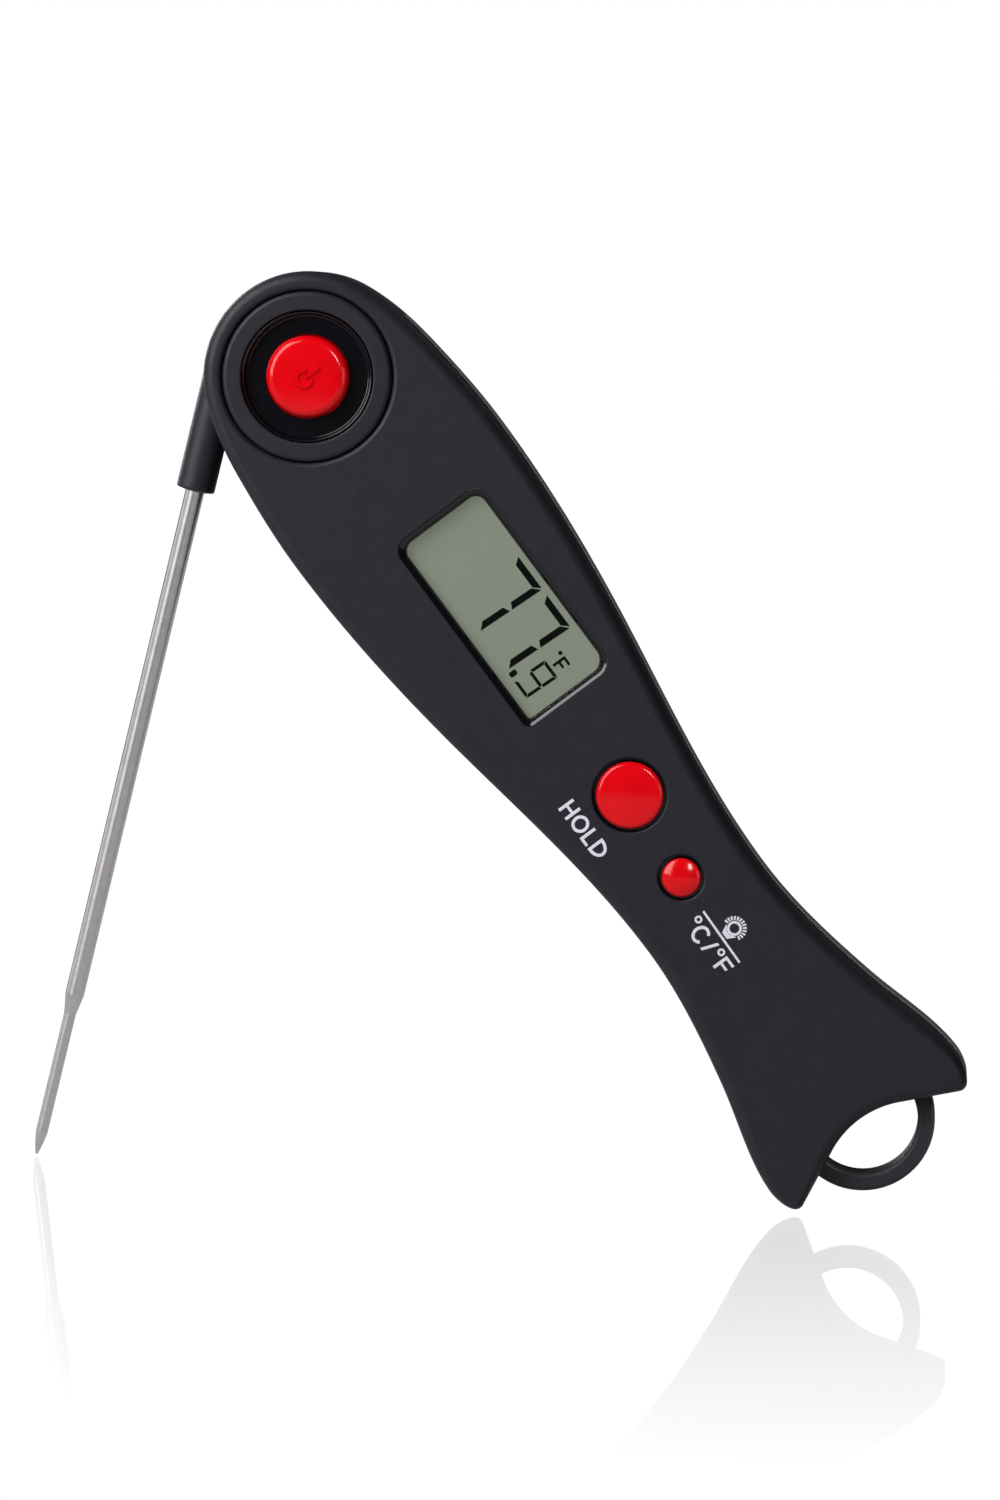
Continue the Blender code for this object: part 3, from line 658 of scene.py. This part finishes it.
def window_cutter():
    """The opening that the window's black frame sits in, with a soft mouth."""
    edge, soft = BEZEL_WIDTH + 0.04, 0.14
    heights = (
        (LENS_Z[1] - 0.2, edge), (FACE_Z - soft, edge), (FACE_Z - soft * 0.3, edge + soft * 0.3),
        (FACE_Z, edge + soft), (FACE_Z + BEYOND, edge + soft),
    )
    loops = [at_height(window_outline(grow), z) for z, grow in heights]
    return stack("window_cutter", loops)


def bay(low, high):
    """The hollow inside a shell, behind the hinge and beside the probe's groove."""
    hinge_r, end_r = HUB_SPACE_R + 1.5, NOTCH_R + 2.0
    hinge_start, end_sweep = 0.97, 0.42
    arm_side, groove_side = ARM_ZONE_Y + SIDE_WALL, GROOVE_Y + 1.6
    hinge = arc((0, 0), hinge_r, hinge_start, math.asin(arm_side / hinge_r), 16)
    end = arc((NOTCH_X + NOTCH_R, 0), end_r, math.pi + end_sweep, math.pi - end_sweep, 8)
    low_side = [(24.0, arm_side), (24.5, groove_side), (end[0][0] - 1.0, groove_side)]
    start_x, end_x, above_y = 13.0, 143.0, 8.0
    high_side = [
        (x, y) for x, y in inset(outline(), SIDE_WALL) if y > above_y and start_x < x < end_x
    ]
    return prism("bay", hinge + low_side + end + high_side, low, high)


def counterbore(name, head_r, lip, seat_z, end_z, centre=(0.0, 0.0)):
    """A screw's hole from the back, with a softened mouth and a seat for its head."""
    shank_r = 1.25
    profile = (
        (head_r + lip, BACK_Z - BEYOND), (head_r + lip, BACK_Z), (head_r, BACK_Z + lip),
        (head_r, seat_z), (shank_r, seat_z), (shank_r, end_z),
    )
    return turned(name, profile, 48, centre)


def front_shell():
    shell = half_shell("front_shell_skin", FRONT)
    ring_gap, lens_gap, button_lip = 0.16, 0.2, 0.34
    below_ring, below_floor = 3.0, 6.0
    lens_seat = rounded_rectangle([s + lens_gap for s in LENS_SIZE], 0.4, WINDOW, 2)
    cut(
        shell,
        bay(-BEYOND, FLOOR_Z),
        hinge_room(FRONT),
        groove(FRONT),
        flared_hole("ring_mouth", RING_R + ring_gap, RING_LIP, below_ring, 160),
        flared_hole("hold_mouth", HOLD[1] + BUTTON_GAP, button_lip, below_floor, 72, HOLD[0]),
        flared_hole("light_mouth", LIGHT[1] + BUTTON_GAP, button_lip, below_floor, 56, LIGHT[0]),
        prism("lens_seat", lens_seat, below_floor, LENS_Z[1] + 0.05),
        window_cutter(),
        loop_slot(FRONT),
    )
    place(shell, "handle", ["front_shell"])
    paint(shell, "case_plastic")


def back_shell():
    shell = half_shell("back_shell_skin", BACK)
    mouth_r, lip = DOOR_R + 0.15, 0.25
    seat_r, seat_z, cell_z = 10.4, -7.2, -5.0
    door = (
        (mouth_r + lip, BACK_Z - BEYOND), (mouth_r + lip, BACK_Z),
        (mouth_r + lip * 0.3, BACK_Z + lip * 0.3), (mouth_r, BACK_Z + lip),
        (mouth_r, seat_z), (seat_r, seat_z), (seat_r, cell_z),
    )
    cut(
        shell,
        bay(-FLOOR_Z, BEYOND),
        hinge_room(BACK),
        groove(BACK),
        turned("door_mouth", door, 96, CELL),
        counterbore("pivot_bore", 2.6, 0.2, -6.9, -2.0),
        *[
            counterbore(f"bore_{i}", 2.2, 0.25, -5.2, BEYOND, centre)
            for i, centre in enumerate(CASE_SCREWS)
        ],
        loop_slot(BACK),
    )
    place(shell, "handle", ["back_shell"])
    paint(shell, "case_plastic")


def hang_loop():
    inner, outer = LOOP_R
    profile = rounded(
        (
            (inner, -LOOP_HALF, 0.7), (outer, -LOOP_HALF, 0.7),
            (outer, LOOP_HALF, 0.7), (inner, LOOP_HALF, 0.7),
        )
    )
    loop = turned("hang_loop_ring", profile, 144, (LOOP_X, 0.0), closed=True)
    place(loop, "handle", ["hang_loop"], sharp_above=60)
    paint(loop, "case_plastic")


# -------------------------------------------------------- hinge and probe


def along_arm(obj):
    """Turns a piece drawn up the z axis to lie along the folded arm."""
    lie = Matrix.Rotation(math.pi / 2, 4, "Y")
    obj.data.transform(Matrix.Translation((0, -ARM_OFFSET, 0)) @ lie)
    return obj


def hinge_hub():
    """The drum in the head, its flush ring in the face, and the probe's arm."""
    bore_r, ring_inner_r = POST_R + 0.2, WELL_R + 0.15
    drum_round, drum_floor_z = 0.4, 2.5
    profile = rounded(
        (
            (bore_r, -DRUM_HALF, 0), (DRUM_R, -DRUM_HALF, drum_round),
            (DRUM_R, DRUM_HALF, drum_round), (RING_R, DRUM_HALF, 0),
            (RING_R, FACE_Z, RING_LIP), (ring_inner_r, FACE_Z, 0.3),
            (ring_inner_r, drum_floor_z, 0), (bore_r, drum_floor_z, 0),
        )
    )
    hub = turned("hinge_hub_and_arm", profile, 160, closed=True)
    end_r, dome = 0.4, 0.2
    arm_profile = [(ARM_R, 0.0), (ARM_R, ARM_END - end_r - dome)]
    arm_profile += arc((ARM_R - end_r, ARM_END - end_r - dome), end_r, 0, 1.3, 6)[1:]
    arm_profile += [(PROBE_R + 0.3, ARM_END - 0.02), (PROBE_R, ARM_END)]
    join(hub, along_arm(turned("arm", arm_profile, 72)))
    fit = 0.04
    bore = (
        (PROBE_R + fit + 0.18, ARM_END + BEYOND), (PROBE_R + fit + 0.18, ARM_END),
        (PROBE_R + fit, ARM_END - 0.18), (PROBE_R + fit, ARM_END - 6.0),
    )
    cut(hub, along_arm(turned("bore", bore, 48)))
    place(hub, "probe", ["hinge_hub"], PROBE)
    paint(hub, "case_plastic")


def probe_shaft():
    """The steel tube, swaged down to a thin end with a short sharp point."""
    shoulder = PROBE_THIN_X - PROBE_TAPER
    hidden, spacing = 5.0, 8.0
    profile = [(PROBE_R - 0.1, ARM_END - hidden - 0.5), (PROBE_R, ARM_END - hidden)]
    profile += [(PROBE_R, ARM_END + k * spacing) for k in range(1, 10)]
    profile += bezier(
        (PROBE_R, shoulder),
        (PROBE_R - 0.02, shoulder + 0.3),
        (PROBE_THIN_R + 0.1, PROBE_THIN_X - 1.0),
        (PROBE_THIN_R, PROBE_THIN_X),
        14,
    )
    cone = PROBE_TIP_X - PROBE_POINT
    profile += bezier(
        (PROBE_THIN_R, cone),
        (PROBE_THIN_R, cone + 0.6),
        (0.5, PROBE_TIP_X - 1.0),
        (0.2, PROBE_TIP_X - 0.12),
        12,
    )
    profile += [(0.12, PROBE_TIP_X - 0.03), (0.04, PROBE_TIP_X)]
    shaft = along_arm(turned("probe_shaft", profile, 64))
    place(shaft, "probe", ["probe_tube"], PROBE, 40)
    paint(shaft, "steel")


# ------------------------------------------------------------------ buttons


def button_profile(radius, flange, flange_z, top, edge, crown):
    """A domed cap on its flange, from the flange's underside to the middle.

    The rounded edge runs into the dome without a crease.
    """
    dome_r = (radius**2 + crown**2) / (2 * crown)
    rim = radius - edge
    edge_z = top - dome_r + math.sqrt((dome_r - edge) ** 2 - rim**2)
    slope = math.asin(rim / (dome_r - edge))
    profile = [(flange, flange_z[0]), (flange, flange_z[1]), (radius, flange_z[1])]
    profile += arc((rim, edge_z), edge, 0, math.pi / 2 - slope, 12)
    steps = 14
    for k in range(1, steps):
        angle = slope * (1 - k / steps)
        profile.append((dome_r * math.sin(angle), top - dome_r * (1 - math.cos(angle))))
    profile.append((0.02, top))
    return profile


def power_symbol(low, high):
    """The embossed power mark: an open ring and a bar through its gap, up being +y."""
    radius, width, gap = 1.2, 0.6, math.radians(38)
    centre, up = (0.0, -0.5), math.pi / 2
    outer = arc(centre, radius + width / 2, up + gap, up + math.tau - gap, 40)
    inner = arc(centre, radius - width / 2, up + math.tau - gap, up + gap, 40)
    ring = prism("power_ring", outer + inner, low, high)
    bar = rectangle((-width / 2, -0.3), (width / 2, 2.4))
    return ring, prism("power_bar", bar, low, high)


def paint_shade_below(cap, height):
    """Paints what lies in the gap round a button, its skirt and flange, gloss black as painted shade, so that the
    gap reads dark.
    """
    cap.data.materials.append(MATERIALS["gloss_black"])
    for face in cap.data.polygons:
        top = max(cap.data.vertices[index].co.z for index in face.vertices)
        face.material_index = int(top < height)


def buttons():
    caps = (  # name, node, button, flange's heights, top, edge's round, crown's rise
        ("power_cap", "power_button", POWER, (5.25, 5.75), CAP_TOP + 0.1, 1.4, 0.4),
        ("hold_cap", "hold_button", HOLD, (5.0, 6.25), CAP_TOP, 0.9, 0.5),
        ("light_cap", "light_button", LIGHT, (5.0, 6.25), CAP_TOP, 0.7, 0.85),
    )
    for name, node, (centre, radius, flange), flange_z, top, edge, crown in caps:
        profile = button_profile(radius, flange, flange_z, top, edge, crown)
        cap = turned(name, profile, 96, centre)
        if node == "power_button":
            join(cap, *power_symbol(top - 1.0, top + 0.26))
        paint(cap, "button_red")
        # Painted shade in the gaps round the hold and light caps: their skirts and flanges are painted black.
        if node != "power_button":
            paint_shade_below(cap, FACE_Z)
        place(cap, node, [node])


def button_well():
    """The glossy dish round the power button."""
    hole_r, under_r = 6.62, 8.7
    floor_z, under_z, rim_z, foot_z = 6.6, 5.9, 7.85, 3.4
    profile = rounded(
        (
            (hole_r, under_z, 0), (hole_r, floor_z, 0.15), (9.6, floor_z, 0.3),
            (9.88, rim_z - 0.1, 0.12), (WELL_R, rim_z, 0.15), (WELL_R, foot_z, 0),
            (under_r, foot_z, 0), (under_r, under_z, 0),
        )
    )
    well = turned("well_dish", profile, 128, closed=True)
    place(well, "handle", ["button_well"])
    paint(well, "gloss_black")


# ------------------------------------------------------------------ display


def seven_segments(lit, low, high, width, gap, lean):
    """The lit bars, named a to g as usual, of a leaning digit that fills a box."""
    (x0, y0), (x1, y1) = low, high
    xi, xo = x0 + width, x1 - width
    ym = (y0 + y1) / 2
    half = width / 2
    bars = {
        "a": [(x0 + gap, y1), (x1 - gap, y1), (xo, y1 - width), (xi, y1 - width)],
        "b": [(x1, y1 - gap), (x1, ym + gap), (xo, ym + half + gap), (xo, y1 - width - gap)],
        "c": [(x1, y0 + gap), (x1, ym - gap), (xo, ym - half - gap), (xo, y0 + width + gap)],
        "d": [(x0 + gap, y0), (x1 - gap, y0), (xo, y0 + width), (xi, y0 + width)],
        "e": [(x0, y0 + gap), (x0, ym - gap), (xi, ym - half - gap), (xi, y0 + width + gap)],
        "f": [(x0, y1 - gap), (x0, ym + gap), (xi, ym + half + gap), (xi, y1 - width - gap)],
        "g": [(x0 + gap + half, ym + half), (x1 - gap - half, ym + half),
              (x1 - gap - half, ym - half), (x0 + gap + half, ym - half)],
    }
    return [[(x + lean * (y - y0), y) for x, y in bars[key]] for key in lit]


def flat_shapes(name, outlines, low, high):
    """Separate flat shapes as one mesh."""
    bm = bmesh.new()
    for points in outlines:
        base = [bm.verts.new((x, y, low)) for x, y in points]
        top = [bm.verts.new((x, y, high)) for x, y in points]
        bm.faces.new(base)
        bm.faces.new(top)
        for i in range(len(points)):
            j = (i + 1) % len(points)
            bm.faces.new((base[i], base[j], top[j], top[i]))
    return from_bmesh(name, bm)


def band(centre, radii, width, start, sweep, steps):
    """A stretch of a flat elliptical ring as a run of four-sided shapes."""
    shapes = []
    for k in range(steps):
        ends = [start + sweep * (k + i) / steps for i in (0, 1)]
        corners = [(ends[0], -width), (ends[0], width), (ends[1], width), (ends[1], -width)]
        shapes.append(
            [
                (
                    centre[0] + (radii[0] + side / 2) * math.cos(a),
                    centre[1] + (radii[1] + side / 2) * math.sin(a),
                )
                for a, side in corners
            ]
        )
    return shapes


def window_bezel():
    """The glossy black frame that slopes from the face down to the window."""
    foot, top = LENS_Z[1] + 0.06, FACE_Z - 0.03
    first, last = math.radians(26), math.radians(68)
    radius = BEZEL_WIDTH / (math.sin(last) - math.sin(first))
    section = [(foot, BEZEL_WIDTH), (top - 0.05, BEZEL_WIDTH)]
    steps = 12
    for k in range(steps + 1):
        angle = first + (last - first) * k / steps
        drop = radius * (math.cos(first) - math.cos(angle))
        grow = BEZEL_WIDTH - radius * (math.sin(angle) - math.sin(first))
        section.append((top - drop, grow))
    section.append((foot, 0.0))
    loops = [at_height(window_outline(grow), z) for z, grow in section]
    bezel = stack("window_bezel", loops, closed=True)
    place(bezel, "handle")
    paint(bezel, "gloss_black")


def reading():
    """The digits and the unit: 7, 7, a point, a small 9, a degree sign and an F."""
    lean = 0.045
    foot, head, width, gap = -2.3, 9.57, 1.1, 0.2
    return [
        *seven_segments("abc", (41.35, foot), (47.9, head), width, gap, lean),
        *seven_segments("abc", (48.85, foot), (55.3, head), width, gap, lean),
        rounded_rectangle((0.92, 1.3), 0.3, (56.26, -2.0), 4),
        *seven_segments("abcdfg", (57.25, -2.65), (60.65, 3.27), 0.52, 0.09, lean),
        circle(0.34, 16, (58.08, 5.86)),
        rectangle((58.8, 3.74), (59.25, 6.12)),
        rectangle((59.25, 5.68), (60.4, 6.12)),
        rectangle((59.25, 4.64), (60.22, 5.06)),
    ]


def display():
    lens = prism("window_lens", rounded_rectangle(LENS_SIZE, 0.4, WINDOW, 3), *LENS_Z)
    place(lens, "handle", ["display_lens"])
    paint(lens, "window")
    window_bezel()
    glass = prism("lcd_glass", rounded_rectangle(LCD_SIZE, 0.4, WINDOW, 3), *LCD_Z)
    place(glass, "handle", ["lcd_panel"])
    paint(glass, "lcd")
    ink = flat_shapes("lcd_segments", reading(), LCD_Z[1] + 0.01, LCD_Z[1] + 0.03)
    place(ink, "handle")
    paint(ink, "lcd_ink")


# ------------------------------------------------------------------- labels


def hold_word():
    """The word HOLD, built from straight bars and curved bands."""
    low, high, width = -8.85, -6.0, 0.5
    middle_y, half = (low + high) / 2, (high - low - width) / 2
    return [
        rectangle((77.4, low), (77.4 + width, high)),
        rectangle((79.1, low), (79.1 + width, high)),
        rectangle((77.4 + width, middle_y - 0.2), (79.1, middle_y + 0.26)),
        *band((81.35, middle_y), (1.1, half), width, 0.0, math.tau, 40),
        rectangle((83.05, low), (83.05 + width, high)),
        rectangle((83.05 + width, low), (84.7, low + 0.46)),
        rectangle((85.1, low), (85.1 + width, high)),
        *band((85.1 + width, middle_y), (1.6, half), width, -math.pi / 2, math.pi, 24),
    ]


def unit_marks():
    """The two temperature units with a stroke between them, under a line."""
    opening = math.radians(40)
    return [
        [(103.67, -0.3), (113.5, -0.53), (113.5, -0.16), (103.67, 0.07)],
        *band((104.27, -1.49), (0.45, 0.45), 0.34, 0.0, math.tau, 24),
        *band((106.4, -2.62), (1.08, 1.28), 0.5, opening, math.tau - 2 * opening, 30),
        [(107.99, -3.95), (108.47, -3.95), (109.46, -1.25), (108.98, -1.25)],
        *band((110.51, -1.69), (0.45, 0.45), 0.34, 0.0, math.tau, 24),
        rectangle((111.45, -4.07), (111.95, -1.33)),
        rectangle((111.95, -1.78), (113.5, -1.33)),
        rectangle((111.95, -2.94), (113.27, -2.52)),
    ]


def lamp_mark():
    """The lamp: a bulb on its tapering base, with rays round its upper side."""
    x, y = 108.71, 2.2
    shapes = band((x, y), (0.97, 0.97), 0.4, 0.0, math.tau, 32)
    shapes.append([(x - 1.3, y - 0.62), (x - 0.62, y - 1.95), (x + 0.62, y - 1.95),
                   (x + 1.3, y - 0.62), (x + 0.9, y - 0.8), (x + 0.4, y - 1.19),
                   (x - 0.4, y - 1.19), (x - 0.9, y - 0.8)])
    rays = 13
    for k in range(rays):
        ray_angle = math.radians(-12 + 204 * k / (rays - 1))
        shapes += band((x, y), (1.62, 1.62), 0.66, ray_angle - 0.09, 0.18, 1)
    return shapes


def labels():
    marks = (
        ("print_hold", hold_word()), ("print_units", unit_marks()), ("print_lamp", lamp_mark())
    )
    for name, shapes in marks:
        piece = flat_shapes(name, shapes, FACE_Z + 0.004, FACE_Z + 0.02)
        place(piece, "handle")
        paint(piece, "print_white")


# --------------------------------------------------------------------- back


def screw(name, centre, head_z, head_r, node):
    """A pan-head screw with a cross recess, driven from the back."""
    profile = rounded(
        ((head_r, head_z + 1.0, 0), (head_r, head_z + 0.15, 0.35), (0.02, head_z, 0)), 6
    )
    body = turned(name, profile, 64, centre)
    x, y = centre
    half, width = head_r * 0.58, head_r * 0.13
    slots = []
    for a, b in ((half, width), (width, half)):
        arm = rectangle((x - a, y - b), (x + a, y + b))
        slots.append(prism(name + "_slot", arm, head_z - 0.5, head_z + 0.6))
    cut(body, *slots)
    place(body, "handle", [node])
    paint(body, "nickel")


def battery_door():
    """The round door with its coin slot and a shallow groove round it."""
    top, dip = BACK_Z + 0.05, 0.18
    profile = rounded(
        (
            (DOOR_R, -7.35, 0), (DOOR_R, top, 0.25), (10.3, top, 0.1),
            (10.1, top + dip, 0.05), (9.7, top + dip, 0.05), (9.5, top, 0.1),
            (0.02, top, 0),
        ),
        4,
    )
    door = turned("door_cover", profile, 144, CELL)
    slot_loops = []
    for z, grow in ((top - 0.5, 0.2), (top, 0.2), (top + 0.2, 0.0), (top + 0.72, 0.0)):
        shape = rounded_rectangle((1.9 + 2 * grow, 13.0 + 2 * grow), 0.94 + grow, CELL)
        slot_loops.append(at_height(shape, z))
    cut(door, stack("coin_slot", slot_loops))
    place(door, "battery_door", ["battery_door"])
    paint(door, "case_plastic")


def back_fittings():
    for i, centre in enumerate(CASE_SCREWS, 1):
        screw(f"case_screw_head_{i}", centre, -6.3, 2.0, f"case_screw_{i}")
    screw("pivot_screw_head", (0.0, 0.0), -8.0, 2.3, "pivot_screw")
    battery_door()


# -------------------------------------------------------------------- stage


def area_light(name, place_at, aim, size, power, colour=(1.0, 1.0, 1.0)):
    """A rectangular light that faces aim. Its power is in watts."""
    light = bpy.data.lights.new(name, "AREA")
    light.shape = "RECTANGLE"
    light.size, light.size_y = size
    light.energy = power
    light.color = colour
    obj = new_object(name, light)
    obj.location = place_at
    direction = Vector(aim) - Vector(place_at)
    obj.rotation_euler = direction.to_track_quat("-Z", "Y").to_euler()
    return obj


def light_on(lights, pieces, state):
    """Lets the lights fall on some pieces only, or on all but those pieces."""
    for light in lights:
        receivers = bpy.data.collections.new(light.name + "_receivers")
        for name in pieces:
            receivers.objects.link(bpy.data.objects[name])
        for linked in receivers.collection_objects:
            linked.light_linking.link_state = state
        light.light_linking.receiver_collection = receivers


def mixed(tree, factor, first, second):
    """A shader that goes from first to second as the factor's output rises."""
    node = tree.nodes.new("ShaderNodeMixShader")
    tree.links.new(factor, node.inputs["Fac"])
    tree.links.new(first, node.inputs[1])
    tree.links.new(second, node.inputs[2])
    return node.outputs["Shader"]


def floor_material():
    """Seen directly it is as bright as the background, and shines near the object.

    It lights the object from below as a grey matt floor does, and is pale in
    reflections, less so far away.
    """
    reach, shine = 0.24, 0.4
    brightness, pale_near, pale_far = 1.06, 0.54, 0.05
    material = bpy.data.materials.new("floor")
    material.use_nodes = True
    tree = material.node_tree
    tree.nodes.remove(tree.nodes["Principled BSDF"])
    white = tree.nodes.new("ShaderNodeEmission")
    white.inputs["Strength"].default_value = brightness
    mirror = tree.nodes.new("ShaderNodeBsdfGlossy")
    mirror.inputs["Color"].default_value = (1.0, 1.0, 1.0, 1.0)
    mirror.inputs["Roughness"].default_value = 0.0
    matt = tree.nodes.new("ShaderNodeBsdfDiffuse")
    matt.inputs["Color"].default_value = (0.3, 0.3, 0.3, 1.0)
    pale = tree.nodes.new("ShaderNodeEmission")

    coordinates = tree.nodes.new("ShaderNodeTexCoord")
    distance = tree.nodes.new("ShaderNodeVectorMath")
    distance.operation = "LENGTH"
    tree.links.new(coordinates.outputs["Object"], distance.inputs[0])
    away = distance.outputs["Value"]
    fade = remap(tree, away, (0.0, reach), (shine, 0.0))
    paleness = remap(tree, away, (0.5, 1.1), (pale_near, pale_far))
    tree.links.new(paleness, pale.inputs["Strength"])

    path = tree.nodes.new("ShaderNodeLightPath")
    shiny = mixed(tree, fade, white.outputs["Emission"], mirror.outputs["BSDF"])
    lit = mixed(
        tree, path.outputs["Is Glossy Ray"], matt.outputs["BSDF"], pale.outputs["Emission"]
    )
    shown = mixed(tree, path.outputs["Is Camera Ray"], lit, shiny)
    tree.links.new(shown, tree.nodes["Material Output"].inputs["Surface"])
    return material


def floor():
    """A white floor just under the object, a little lower towards the tail."""
    drop, lean = 0.0011, math.radians(0.62)
    bm = bmesh.new()
    bmesh.ops.create_circle(bm, cap_ends=True, segments=96, radius=6.0)
    mesh = bpy.data.meshes.new("floor")
    bm.to_mesh(mesh)
    bm.free()
    mesh.materials.append(floor_material())
    obj = new_object("floor", mesh)
    obj.location.z = -drop
    obj.rotation_euler.y = lean


def sky():
    """A dim room, darker behind the object, that is white where it is looked at.

    It is also white in the floor's mirror, the only perfectly sharp one here.
    """
    world = bpy.data.worlds.new("studio")
    bpy.context.scene.world = world
    world.use_nodes = True
    tree = world.node_tree
    background = tree.nodes["Background"]
    coordinates = tree.nodes.new("ShaderNodeTexCoord")
    facing = tree.nodes.new("ShaderNodeVectorMath")
    facing.operation = "DOT_PRODUCT"
    facing.inputs[1].default_value = (0.0, 1.0, 0.0)
    tree.links.new(coordinates.outputs["Generated"], facing.inputs[0])
    in_front, behind = 0.07, 0.04
    strength = remap(tree, facing.outputs["Value"], (-1.0, 1.0), (in_front, behind))
    path = tree.nodes.new("ShaderNodeLightPath")
    for kind in ("Is Camera Ray", "Is Singular Ray"):
        brightest = tree.nodes.new("ShaderNodeMath")
        brightest.operation = "MAXIMUM"
        tree.links.new(strength, brightest.inputs[0])
        tree.links.new(path.outputs[kind], brightest.inputs[1])
        strength = brightest.outputs["Value"]
    tree.links.new(strength, background.inputs["Strength"])
    background.inputs["Color"].default_value = (1.0, 1.0, 1.0, 1.0)


def studio():
    """The lights. The steel, the buttons and the back have some of their own."""
    aim = (0.0, 0.0, 0.07)
    steel = ("probe_shaft",)
    caps = ("power_cap", "hold_cap", "light_cap")
    screw_heads = [f"case_screw_head_{i}" for i in (1, 2, 3, 4)]
    general = (
        area_light("key", (-0.62, -0.55, 0.5), aim, (0.55, 0.9), 11.7),
        area_light("rim", (0.5, 0.6, 0.8), aim, (0.4, 0.4), 0.3),
        area_light("back", (-0.6, 0.7, 0.4), aim, (0.4, 0.5), 4.5),
    )
    steel_cards = (
        area_light("steel_front", (-0.6, -0.62, 0.25), aim, (0.9, 0.9), 1.8),
        area_light("steel_line", (-0.56, -0.7, 0.2), aim, (0.25, 0.9), 1.1),
        area_light("steel_side", (-0.9, 0.15, 0.25), aim, (0.7, 0.8), 1.6),
        area_light("steel_fill", (0.3, -0.85, 0.15), aim, (0.6, 0.5), 0.45),
        area_light("steel_back", (0.6, 0.7, 0.3), aim, (0.6, 0.8), 0.15),
    )
    button_cards = (
        area_light("spark", (0.39, -0.75, 0.51), aim, (0.16, 0.26), 3.6),
        area_light("button_side", (0.8, -0.4, 0.15), aim, (0.5, 0.5), 1.6),
    )
    warm = (1.0, 0.95, 0.8)
    back_side = area_light("back_side", (0.75, -0.2, 0.7), aim, (0.3, 0.5), 20.0, warm)
    back_fill = area_light("back_fill", (-0.3, 0.85, 0.1), aim, (0.6, 0.6), 6.0)
    back_fill.visible_glossy = False  # its highlights would sparkle along the edges
    light_on(general, steel, "EXCLUDE")
    light_on(steel_cards, steel, "INCLUDE")
    light_on(button_cards, caps, "INCLUDE")
    light_on([back_side], ("back_shell_skin", "hang_loop_ring"), "INCLUDE")
    back = ("back_shell_skin", "door_cover", "pivot_screw_head", *screw_heads)
    light_on([back_fill], back, "INCLUDE")
    sky()
    floor()


def camera():
    """A long lens in front of the face, a little to the right and above.

    It is rolled so that the handle slopes as much as handle_slope in the picture.
    """
    yaw, rise, handle_slope = math.radians(4.0), math.radians(4.5), math.radians(53.25)
    along = HANDLE.to_3x3() @ Vector((1, 0, 0))
    roll = handle_slope - math.atan2(-along.z, along.x)
    distance = 0.9
    framed_height = 0.234
    aim = HANDLE @ Vector((64.6, -10.6, FACE_Z))
    towards = Vector(
        (
            math.sin(yaw) * math.cos(rise),
            -math.cos(yaw) * math.cos(rise),
            math.sin(rise),
        )
    )
    data = bpy.data.cameras.new("camera")
    data.sensor_fit = "VERTICAL"
    data.sensor_height = 36.0
    data.lens = data.sensor_height * distance / framed_height
    data.clip_start = 0.01
    obj = new_object("camera", data)
    look = (-towards).to_track_quat("-Z", "Y").to_matrix().to_4x4()
    turn = Matrix.Rotation(roll, 4, "Z")
    obj.matrix_world = Matrix.Translation(aim + towards * distance) @ look @ turn
    bpy.context.scene.camera = obj


def inner_pieces():
    """Gives each CAD solid its slot's material. Drawn pieces then replace the outer ones."""
    slots = {s["node"]: s["material_slot"] for s in frame["record"]["subparts"]}
    for name, obj in frame["nodes"].items():
        paint(obj, slots[name])


inner_pieces()
front_shell()
back_shell()
hang_loop()
hinge_hub()
probe_shaft()
buttons()
button_well()
display()
labels()
back_fittings()
camera()
studio()
bpy.context.scene.view_settings.view_transform = "Standard"
